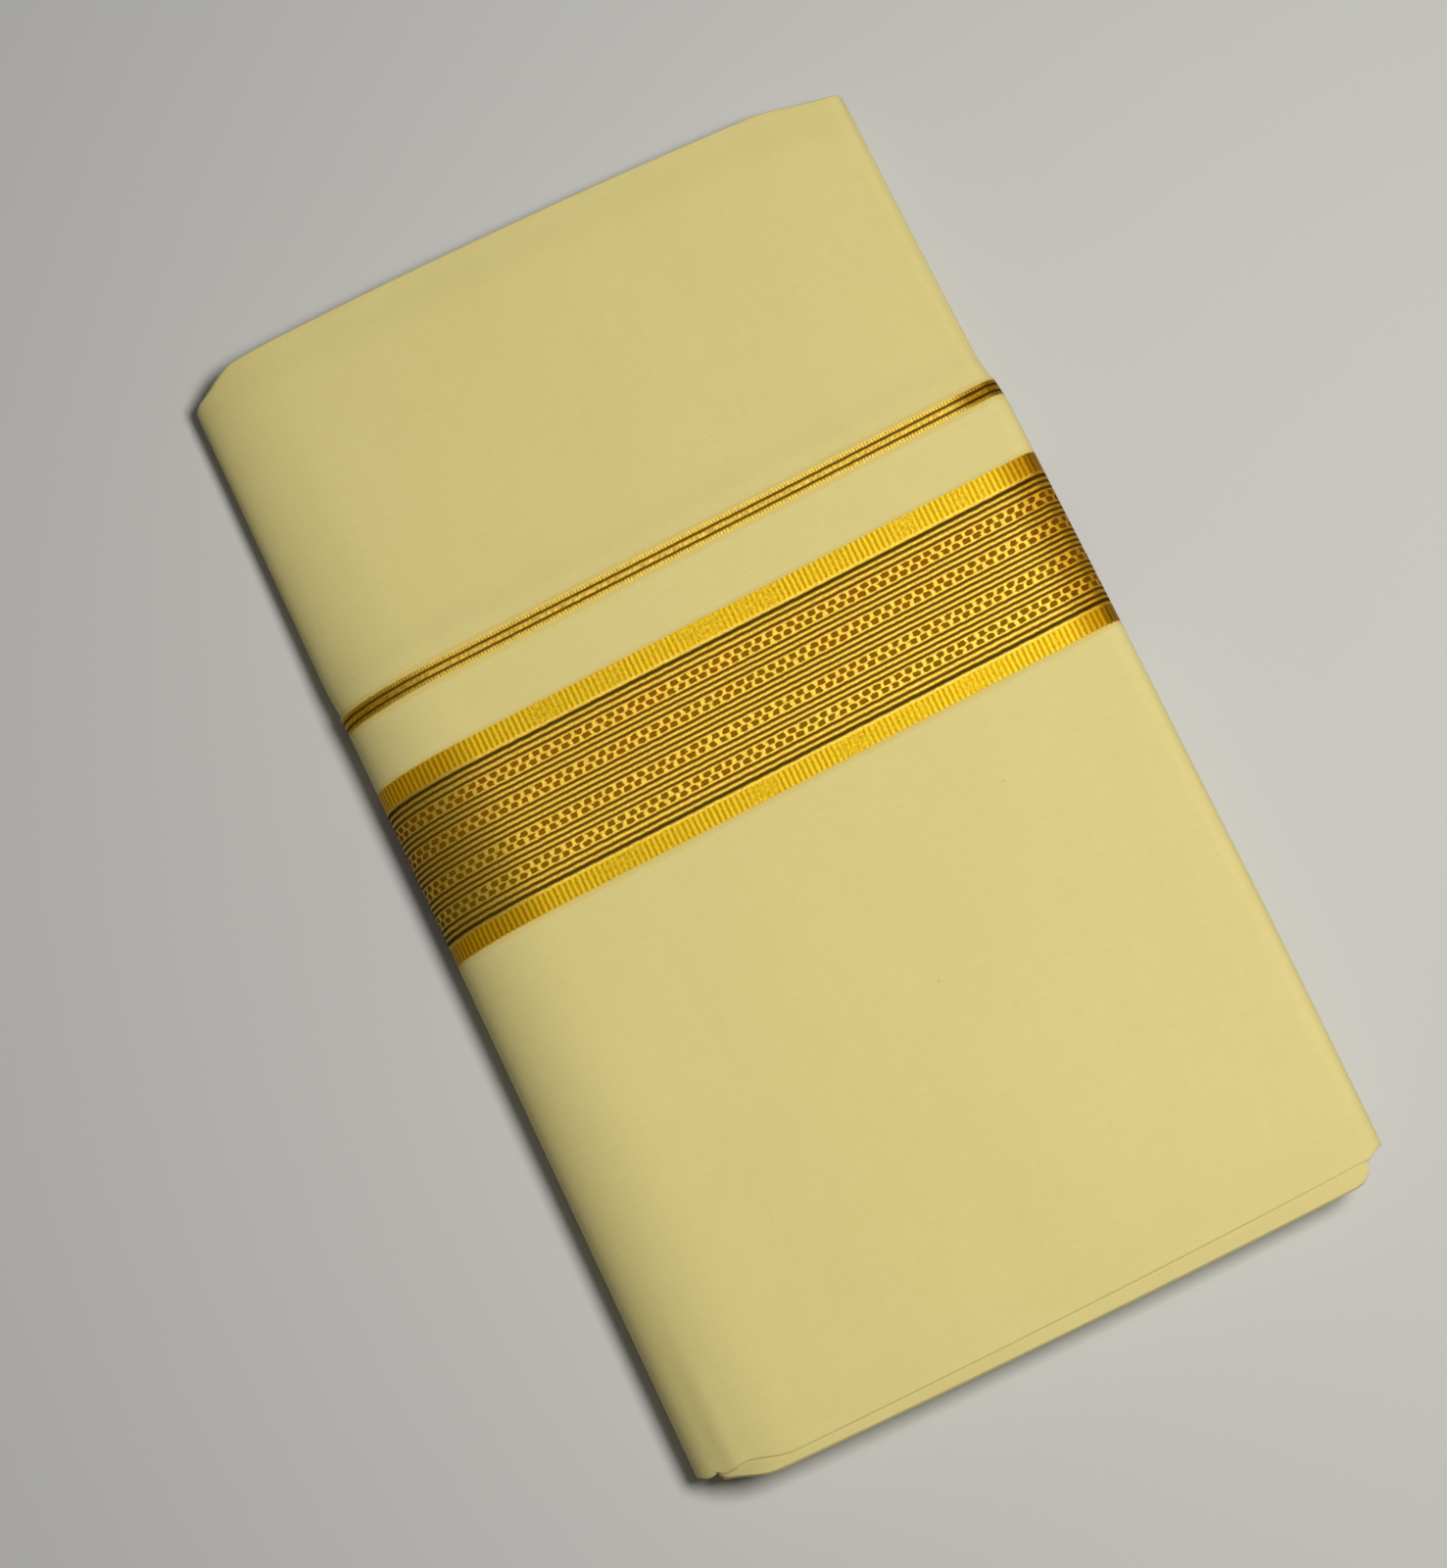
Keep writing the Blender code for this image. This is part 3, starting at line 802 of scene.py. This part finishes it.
def paint_borders(piece, outer_faces):
    """Gives the borders' materials to the ribbon's outer side, its first faces. The rest is plain."""
    mesh = piece.data
    uv = np.empty(len(mesh.loops) * 2)
    mesh.uv_layers["cloth"].data.foreach_get("uv", uv)
    v = uv.reshape(-1, 2)[:, 1]
    for face in mesh.polygons:
        if face.index >= outer_faces or face.loop_total > 4:
            continue
        below = v[face.loop_start : face.loop_start + face.loop_total].mean()
        if WIDE_TOP < below < WIDE_FOOT:
            face.material_index = 1
        elif 0.0 < below < NARROW_BORDER:
            face.material_index = 2


# ---- Shader maths ----


class Wire:
    """A number that varies over a surface. Sums and products of wires add their Math nodes."""

    def __init__(self, board, socket):
        self.board = board
        self.socket = socket

    def __add__(self, other):
        return self.board.math("ADD", self, other)

    __radd__ = __add__

    def __sub__(self, other):
        return self.board.math("SUBTRACT", self, other)

    def __rsub__(self, other):
        return self.board.math("SUBTRACT", other, self)

    def __mul__(self, other):
        return self.board.math("MULTIPLY", self, other)

    __rmul__ = __mul__

    def __truediv__(self, other):
        return self.board.math("DIVIDE", self, other)

    def __abs__(self):
        return self.board.math("ABSOLUTE", self)


def set_stops(ramp, stops):
    while len(ramp.elements) > 1:
        ramp.elements.remove(ramp.elements[0])
    ramp.elements[0].position, ramp.elements[0].color = stops[0]
    for position, color in stops[1:]:
        ramp.elements.new(position).color = color


class Board:
    """One material's nodes."""

    def __init__(self, name, **constants):
        self.material = bpy.data.materials.new(name)
        self.material.use_nodes = True
        self.tree = self.material.node_tree
        self.surface = self.tree.nodes["Principled BSDF"]
        for socket, value in constants.items():
            self.surface.inputs[socket.replace("_", " ")].default_value = value

    def node(self, kind, settings, inputs, output=0):
        """Adds a node, sets it up, gives its sockets values or wires and returns one output."""
        node = self.tree.nodes.new(kind)
        for name, value in settings.items():
            if name == "stops":
                set_stops(node.color_ramp, value)
            else:
                setattr(node, name, value)
        for name, value in inputs.items():
            if isinstance(value, Wire):
                self.tree.links.new(value.socket, node.inputs[name])
            else:
                node.inputs[name].default_value = value
        return Wire(self, node.outputs[output])

    def math(self, operation, *values):
        return self.node("ShaderNodeMath", {"operation": operation}, dict(enumerate(values)))

    def feed(self, socket, wire):
        self.tree.links.new(wire.socket, self.surface.inputs[socket])

    def measure(self):
        """The cloth's own measure: along the weft and down from the selvedge, in millimetres."""
        uv = self.node("ShaderNodeUVMap", {"uv_map": "cloth"}, {})
        across, down = (self.node("ShaderNodeSeparateXYZ", {}, {0: uv}, axis) for axis in "XY")
        return across * 1000, down * 1000

    def vector(self, x, y, z=0.0):
        return self.node("ShaderNodeCombineXYZ", {}, {0: x, 1: y, 2: z})

    def noise(self, x, y, seed, detail=2.0):
        """Soft noise from 0 to 1. Each seed gives another one."""
        place = self.vector(x, y, seed)
        inputs = {"Vector": place, "Scale": 1.0, "Detail": detail, "Roughness": 0.55}
        return self.node("ShaderNodeTexNoise", {}, inputs, "Fac")

    def random(self, x, y):
        return self.node("ShaderNodeTexWhiteNoise", {}, {"Vector": self.vector(x, y)}, "Value")

    def step(self, low, high, wire):
        """0 on low's side, 1 on high's side, and smooth between. High may be the smaller."""
        settings = {"interpolation_type": "SMOOTHSTEP"}
        inputs = {"Value": wire, "From Min": low, "From Max": high}
        return self.node("ShaderNodeMapRange", settings, inputs)

    def blend(self, share, a, b):
        """Colour a at 0 and b at 1."""
        settings = {"data_type": "RGBA"}
        return self.node("ShaderNodeMix", settings, {"Factor": share, "A": a, "B": b}, 2)

    def wave(self, wire):
        """0 at whole numbers and 1 half way between them."""
        return 1.0 - abs(self.math("FRACT", wire) - 0.5) * 2.0

    def relief(self, height, distance, strength):
        inputs = {"Strength": strength, "Distance": distance, "Height": height}
        self.feed("Normal", self.node("ShaderNodeBump", {}, inputs))


def linear(red, green, blue):
    """A display colour, 0 to 255, as the linear colour that shaders use."""
    values = []
    for channel in (red, green, blue):
        share = channel / 255
        values.append(share / 12.92 if share <= 0.04045 else ((share + 0.055) / 1.055) ** 2.4)
    return (*values, 1.0)


# ---- Materials ----

COTTON_LIGHT = linear(230, 215, 145)
COTTON_DARK = linear(222, 207, 135)
THREAD = 0.42  # millimetres from one cotton thread to the next
GOLD_ENDS = linear(222, 188, 84)
GOLD_END_SHARE = 0.42
SPECKS = ((58.0, 111.8), (14.2, 156.0))  # two dark slubs on the front, in the cloth's own measure
SPECK_COLOR = linear(150, 132, 70)
SPECK_SHARE = 0.38
SPECK_FADE = (0.02, 0.22)  # a slub fades between these squares of the distance from it


def gold_ends(board, across, down):
    """The share of gold in the cotton beside a border, where its threads end unevenly."""
    near = abs(down)
    for edge in (NARROW_BORDER, WIDE_TOP, WIDE_FOOT):
        near = board.math("MINIMUM", near, abs(down - edge * 1000))
    ragged = board.noise(across * 1.3, down * 0.2, 31.0)
    return GOLD_END_SHARE - board.step(0.2, 1.5, near + (ragged - 0.5) * 1.6) * GOLD_END_SHARE


def cotton_color(board, across, down):
    """Plain cotton with slubs along both threads. Returns its colour and its height."""
    warp = board.noise(across * 2.2, down * 0.09, 1.0)
    weft = board.noise(across * 0.09, down * 2.2, 2.0)
    cloud = board.noise(across * 0.03, down * 0.012, 3.0)
    share = warp * 0.45 + weft * 0.55 + (cloud - 0.5) * 0.35
    color = board.blend(board.step(0.2, 0.8, share), COTTON_DARK, COTTON_LIGHT)
    color = board.blend(gold_ends(board, across, down), color, GOLD_ENDS)
    over = board.wave(across / THREAD)
    under = board.wave(down / THREAD)
    height = over * under * 0.35 + warp * 0.4 + weft * 0.4
    return color, height


def cotton_material():
    board = Board("cotton", Roughness=0.86, Sheen_Weight=0.12, Sheen_Roughness=0.4, Specular_IOR_Level=0.25)
    across, down = board.measure()
    color, height = cotton_color(board, across, down)
    for x, y in SPECKS:
        off = (across - x) * (across - x) + (down - y) * (down - y)
        share = SPECK_SHARE - SPECK_SHARE * board.step(*SPECK_FADE, off)
        color = board.blend(share, color, SPECK_COLOR)
    board.feed("Base Color", color)
    board.relief(height, 0.00006, 0.5)
    return board.material


# What is woven in half of the wide border, by its distance from the middle in millimetres.
WIDE_CHART = (
    (0.91, "line"),
    (2.62, "line"),
    (4.42, "cells"),
    (6.49, "offset cells"),
    (8.31, "line"),
    (10.12, "line"),
    (11.85, "line"),
    (13.57, "cells"),
    (15.73, "offset cells"),
    (17.40, "line"),
    (19.46, "line"),
    (21.45, "line"),
    (22.40, "clear"),
)
CHART_COLORS = {
    "line": (1, 0, 0, 1),
    "cells": (0, 1, 0, 1),
    "offset cells": (0, 0, 1, 1),
    "clear": (0, 0, 0, 1),
}
OLIVE_FROM = 20.5  # the outermost line is darker and wider
GOLD_FROM = 23.0  # the gold bands run from here to the border's edges
WIDE_HALF = WIDE_BORDER * 1000 / 2
CHART_LENGTH = 30.0
CELL = 3.57  # millimetres from one woven square to the next
CELL_HALF = (0.86, 0.67)  # a square's half height and width, as shares of its room
LOWER_SHIFT = 0.31  # the squares of the lower half are shifted by this share of their room
RIB = 1.79  # millimetres from one rib of the gold bands to the next
SERRATION = 0.6  # depth of the gold's uneven edges
OVERRUN = 0.1  # at the top their longest threads run about this far past the border
FOOT_INSET = 0.5  # the lower gold band ends this much before the border does

GOLD_BRIGHT = linear(232, 196, 46)
GOLD_DEEP = linear(170, 130, 2)
LOWER_GOLD_TINT = (0.88, 0.89, 0.84, 1.0)  # the lower gold band is a little duller
CORD = linear(248, 212, 90)
CORD_DEEP = linear(222, 181, 58)
BROWN = linear(100, 64, 2)
OLIVE = linear(80, 58, 2)
RED_BROWN = linear(150, 88, 4)
OLIVE_BROWN = linear(130, 100, 4)
NARROW_CORD = linear(242, 212, 96)
NARROW_DEEP = linear(178, 138, 30)
NARROW_LINE = 1.13  # the narrow border's two dark lines lie this far from its middle
TICK = 1.05  # one thread of its uneven edges
NEAT_ENDS = ((-60.0, -85.0), (60.0, 90.0))  # its edges are neater near its two ends
NEAT_SHARE = 0.35  # with this share of their unevenness
CLEAR_RIBS = ((-52.0, -80.0), (86.0, 96.0))  # the gold's ribs show best near its two ends
# Painted shade: the borders are darkened where they turn round the spine and the open fold, as the
# threads turn away from the light there: from where to where across the cloth, and in what tint.
SPINE_TURN = (-66.0, -104.0)
OPEN_TURN = (94.0, 106.0)
GOLD_FOLD_SHADE = ((SPINE_TURN, (0.92, 0.74, 0.32, 1.0)), (OPEN_TURN, (0.58, 0.44, 0.16, 1.0)))
CORD_FOLD_SHADE = ((SPINE_TURN, (0.68, 0.68, 0.66, 1.0)), (OPEN_TURN, (0.60, 0.50, 0.24, 1.0)))
# Painted shade on the narrow border where it turns round the spine and the open fold.
NARROW_FOLD_SHADE = (((-66.0, -112.0), (0.70, 0.58, 0.16, 1.0)), ((93.0, 102.0), (0.44, 0.34, 0.10, 1.0)))


def chart_stops(chart, length):
    """The chart as a ramp: each entry's colour at its place, and black half way between two."""
    clear = CHART_COLORS["clear"]
    stops = []
    previous = -chart[0][0]
    for place, kind in chart:
        if kind != "clear":
            stops.append(((previous + place) / 2 / length, clear))
        stops.append((place / length, CHART_COLORS[kind]))
        previous = place
    return stops


def gold_color(board, across, down, seed):
    """Bands of gold thread in ribs, clear in places and mottled in others: colour, height, rib."""
    waver = (board.noise(across * 0.3, down * 0.5, seed) - 0.5) * 0.25
    rib = board.wave(across / RIB + waver)
    clear = board.step(0.36, 0.56, board.noise(across * 0.055, down * 0.01, seed + 1.0)) * 0.9
    for place in CLEAR_RIBS:
        clear = board.math("MAXIMUM", clear, board.step(*place, across))
    mottle = board.noise(across * 1.5, down * 0.9, seed + 2.0, 3.0)
    glint = mix(board.step(0.28, 0.72, mottle), rib, 0.2 + clear * 0.55)
    glint = glint + (rib - 0.5) * clear * 0.5
    color = board.blend(glint, GOLD_DEEP, GOLD_BRIGHT)
    return color, rib * mix(0.12, 0.3, clear) + mottle * 0.25, rib


def tinted(board, share, color, tint):
    """The colour, darkened by a tint for this share."""
    settings = {"data_type": "RGBA", "blend_type": "MULTIPLY"}
    return board.node("ShaderNodeMix", settings, {"Factor": share, "A": color, "B": tint}, 2)


# Darkens a colour with painted shade where a border turns round a fold, for each place and tint.
def painted_fold_shade(board, color, across, fold_shade):
    for place, tint in fold_shade:
        color = tinted(board, board.step(*place, across), color, tint)
    return color


def cell_shape(board, row, wave, ragged):
    """A woven square with soft, uneven edges: its row and wave are 1 at its centre."""
    up = board.math("POWER", (1.0 - row) / CELL_HALF[0], 4.0)
    along = board.math("POWER", (1.0 - wave) / CELL_HALF[1], 4.0)
    return 1.0 - board.step(0.3, 1.9, up + along + ragged)


def wide_zari_material():
    board = Board("wide_zari", Specular_IOR_Level=0.02)
    across, down = board.measure()
    sway = (board.noise(across * 0.35, down * 0.12, 5.0) - 0.5) * 0.42
    from_middle = down - (WIDE_TOP * 1000 + WIDE_HALF) + sway
    away = abs(from_middle)
    stops = chart_stops(WIDE_CHART, CHART_LENGTH)
    chart = board.node("ShaderNodeValToRGB", {"stops": stops}, {0: away / CHART_LENGTH})
    channels = ("Red", "Green", "Blue")
    parts = (board.node("ShaderNodeSeparateColor", {}, {0: chart}, channel) for channel in channels)
    line, cells, offset_cells = parts

    outer = board.step(OLIVE_FROM - 0.05, OLIVE_FROM + 0.05, away)
    line_mask = board.step(0.08, 0.85, line + outer * 0.15)
    shifted = across / CELL + (board.noise(across * 0.45, down * 0.6, 6.0) - 0.5) * 0.5
    side = board.step(-0.5, 0.5, from_middle) * LOWER_SHIFT
    ragged = (board.noise(across * 0.9, down * 0.9, 8.0) - 0.5) * 2.4
    plain = cell_shape(board, cells, board.wave(shifted + side), ragged)
    offset = cell_shape(board, offset_cells, board.wave(shifted + side + 0.5), ragged)
    cell_mask = plain + offset
    number = board.math("FLOOR", shifted + side)
    row = board.math("FLOOR", away * 0.2)
    tint = board.random(number, board.step(0.0, 0.1, cells) * 5.0 + row) * 0.35
    tint = tint + board.step(0.35, 0.65, board.noise(across * 0.05, down * 0.05, 9.0)) * 0.3
    tint = tint + from_middle / WIDE_HALF * 0.25 + 0.15

    grain = board.noise(across * 0.9, down * 1.8, 7.0)
    color = board.blend(board.step(0.3, 0.7, grain), CORD_DEEP, CORD)
    color = board.blend(line_mask, color, board.blend(outer, BROWN, OLIVE))
    color = board.blend(cell_mask, color, board.blend(tint, RED_BROWN, OLIVE_BROWN))

    gold, gold_height, rib = gold_color(board, across, down, 11.0)
    gold = tinted(board, board.step(-1.0, 1.0, from_middle), gold, LOWER_GOLD_TINT)
    # Painted shade on the gold where it turns round the spine and the open fold.
    gold = painted_fold_shade(board, gold, across, GOLD_FOLD_SHADE)
    in_gold = board.step(GOLD_FROM - 0.3, GOLD_FROM + 0.3, away)
    plain_cotton, _ = cotton_color(board, across, down)
    ragged_end = rib * 0.6 + board.noise(across * 0.9, 0.0, 12.0) * 0.6
    foot = board.step(-1.0, 1.0, from_middle) * FOOT_INSET
    edge = WIDE_HALF + OVERRUN - foot - SERRATION * (1.0 - ragged_end)
    beyond = board.step(-0.3, 0.3, away - edge)
    # Painted shade on the cords where they turn round the spine and the open fold.
    color = board.blend(in_gold, painted_fold_shade(board, color, across, CORD_FOLD_SHADE), gold)
    color = board.blend(beyond, color, plain_cotton)

    dark = board.math("MAXIMUM", line_mask, cell_mask)
    woven_metal = 0.5 - dark * 0.4
    gold_metal = 0.6 - 0.3 * board.step(*SPINE_TURN, across)
    metal = mix(mix(woven_metal, gold_metal, in_gold), 0.0, beyond)
    board.feed("Base Color", color)
    board.feed("Metallic", metal)
    board.feed("Roughness", 0.48 + dark * 0.2 + beyond * 0.34 + grain * 0.06)
    height = mix(grain * 0.3 - line_mask * 0.3 - cell_mask * 0.2, gold_height, in_gold)
    board.relief(height, 0.0002, 0.4)
    return board.material


def narrow_zari_material():
    board = Board("narrow_zari", Specular_IOR_Level=0.02)
    across, down = board.measure()
    sway = (board.noise(across * 0.35, down * 0.2, 15.0) - 0.5) * 0.3
    away = abs(down - NARROW_BORDER * 1000 / 2 + sway)
    line_mask = 1.0 - board.step(0.05, 0.78, abs(away - NARROW_LINE))
    mottle = board.noise(across * 1.3 + down * 0.4, down * 0.7, 22.0, 3.0)
    tick = board.wave(across / TICK + (mottle - 0.5) * 0.8)
    ticked = mix(mottle, mottle * 0.55 + tick * 0.45, board.step(1.3, 1.8, away))
    thread = board.blend(board.step(0.25, 0.75, ticked), NARROW_DEEP, NARROW_CORD)
    ragged = board.noise(across * 1.1, down * 0.4, 23.0)
    spine_end, open_end = (board.step(*place, across) for place in NEAT_ENDS)
    uneven = (ragged - 0.5) * 1.4 + (0.5 - tick) * 0.9
    beyond = board.step(2.3, 3.1, away + uneven * mix(1.0, NEAT_SHARE, spine_end + open_end))
    plain_cotton, _ = cotton_color(board, across, down)
    color = board.blend(line_mask, thread, BROWN)
    # Painted shade on the narrow border where it turns round the spine and the open fold.
    color = painted_fold_shade(board, color, across, NARROW_FOLD_SHADE)
    color = board.blend(beyond, color, plain_cotton)
    board.feed("Base Color", color)
    board.feed("Metallic", mix(0.5 - line_mask * 0.4, 0.0, beyond))
    board.feed("Roughness", 0.46 + line_mask * 0.2 + beyond * 0.36)
    board.relief(mottle * 0.5 - line_mask * 0.4, 0.0002, 0.4)
    return board.material


# ---- The outer panel's sheets ----


LOWER_ROWS = 84
WIDE_ROWS = 30
GAP_ROWS = 12
NARROW_ROWS = 6
TUCKED_ROWS = 26
UPPER_ROWS = 50
TUCKED_RISE = 0.012  # the upper cloth's closer rows run on this far above the selvedge


def even(count):
    return [i / count for i in range(count + 1)]


def close_at_foot(count, power=1.7):
    """Shares from 0 to 1 that are closer together near 0."""
    return [(i / count) ** power for i in range(count + 1)]


def past(line, by):
    """The same line, moved along Y."""

    def moved(x, turned):
        return line(x, turned) + by

    return moved


def lower_cloth(cotton):
    fold = rolled_rows(flap_fold_y, -1.0, on_body=False)[::-1]
    start = past(flap_fold_y, FLAP_HEIGHT / PANELS / 2)
    rows = fold[:-1] + sheet_rows(start, border_y(WIDE_FOOT), close_at_foot(LOWER_ROWS))
    piece, flat = sheet("lower_cloth_sheet", rows, -1, WIDE_FOOT, cotton)
    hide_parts("lower_cloth")


def wide_border(zari):
    rows = sheet_rows(border_y(WIDE_FOOT), border_y(WIDE_TOP), even(WIDE_ROWS))
    piece, flat = sheet("wide_border_sheet", rows, -1, WIDE_TOP, zari)
    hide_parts("wide_border")


def border_gap(cotton):
    rows = sheet_rows(border_y(WIDE_TOP), border_y(NARROW_BORDER), even(GAP_ROWS))
    piece, flat = sheet("border_gap_sheet", rows, -1, NARROW_BORDER, cotton)
    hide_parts("border_gap")


def narrow_border(zari):
    rows = sheet_rows(border_y(NARROW_BORDER), border_y(0.0), even(NARROW_ROWS))
    piece, _ = sheet("narrow_border_sheet", rows, -1, 0.0, zari)
    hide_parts("narrow_border")
    return piece


def upper_cloth(cotton):
    fold = rolled_rows(centre_fold_y, 1.0, on_body=True)
    end = past(centre_fold_y, -(BODY_HEIGHT / PANELS / 2))
    meeting = border_y(-TUCKED_RISE)
    tucked = sheet_rows(border_y(TUCK_UNDER), meeting, even(TUCKED_ROWS), on_body=True)
    above = sheet_rows(meeting, end, even(UPPER_ROWS), on_body=True)
    rows = tucked[:-1] + above[:-1] + fold
    piece, flat = sheet("upper_cloth_sheet", rows, 0, TUCK_UNDER, cotton)
    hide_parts("upper_cloth")


# ---- Surroundings ----

CAMERA_PLACE = (-0.0661, -0.1730, 1.1037)
CAMERA_ANGLES = (9.3725, 1.5979, -25.5421)
CAMERA_LENS = 91.14
SENSOR_WIDTH = 36.0
FLOOR_SIZE = 6.0
FLOOR_DROP = 0.0002  # the floor lies this far below the pack
WORLD_STRENGTH = 0.04


def add_camera():
    data = bpy.data.cameras.new("camera")
    data.sensor_fit = "HORIZONTAL"
    data.sensor_width = SENSOR_WIDTH
    data.lens = CAMERA_LENS
    data.clip_end = 20.0
    camera = bpy.data.objects.new("camera", data)
    camera.location = CAMERA_PLACE
    camera.rotation_euler = [math.radians(angle) for angle in CAMERA_ANGLES]
    bpy.context.scene.collection.objects.link(camera)
    bpy.context.scene.camera = camera


def add_light(name, place, size, power, color):
    """A square light that faces the pack. Metres and watts."""
    data = bpy.data.lights.new(name, "AREA")
    data.shape = "RECTANGLE"
    data.size, data.size_y = size, size
    data.energy = power
    data.color = color
    light = bpy.data.objects.new(name, data)
    light.location = place
    light.rotation_euler = (-Vector(place)).to_track_quat("-Z", "Y").to_euler()
    light.visible_camera = False
    bpy.context.scene.collection.objects.link(light)


def add_surroundings():
    deselect()
    bpy.ops.mesh.primitive_plane_add(size=FLOOR_SIZE, location=(0.0, 0.0, -FLOOR_DROP))
    floor = bpy.context.object
    floor.name = "floor"
    board = Board("floor_paper", Roughness=0.9, Base_Color=linear(204, 204, 202))
    floor.data.materials.append(board.material)
    add_light("key", (0.34, -0.11, 1.02), 0.32, 9.6, (1.0, 0.985, 0.95))
    add_light("overhead", (-0.05, -0.1, 1.9), 1.4, 2.0, (1.0, 0.99, 0.97))
    world = bpy.data.worlds.new("studio")
    world.use_nodes = True
    background = world.node_tree.nodes["Background"]
    background.inputs["Color"].default_value = (1.0, 1.0, 1.0, 1.0)
    background.inputs["Strength"].default_value = WORLD_STRENGTH
    bpy.context.scene.world = world
    bpy.context.scene.view_settings.view_transform = "Standard"


def main():
    cotton = cotton_material()
    wide_zari = wide_zari_material()
    narrow_zari = narrow_zari_material()
    lower_cloth(cotton)
    wide_border(wide_zari)
    selvedge = narrow_border(narrow_zari)
    border_gap(cotton)
    upper_cloth(cotton)
    folded_ribbon(cotton, narrow_zari, wide_zari)
    add_surroundings()
    add_camera()


main()
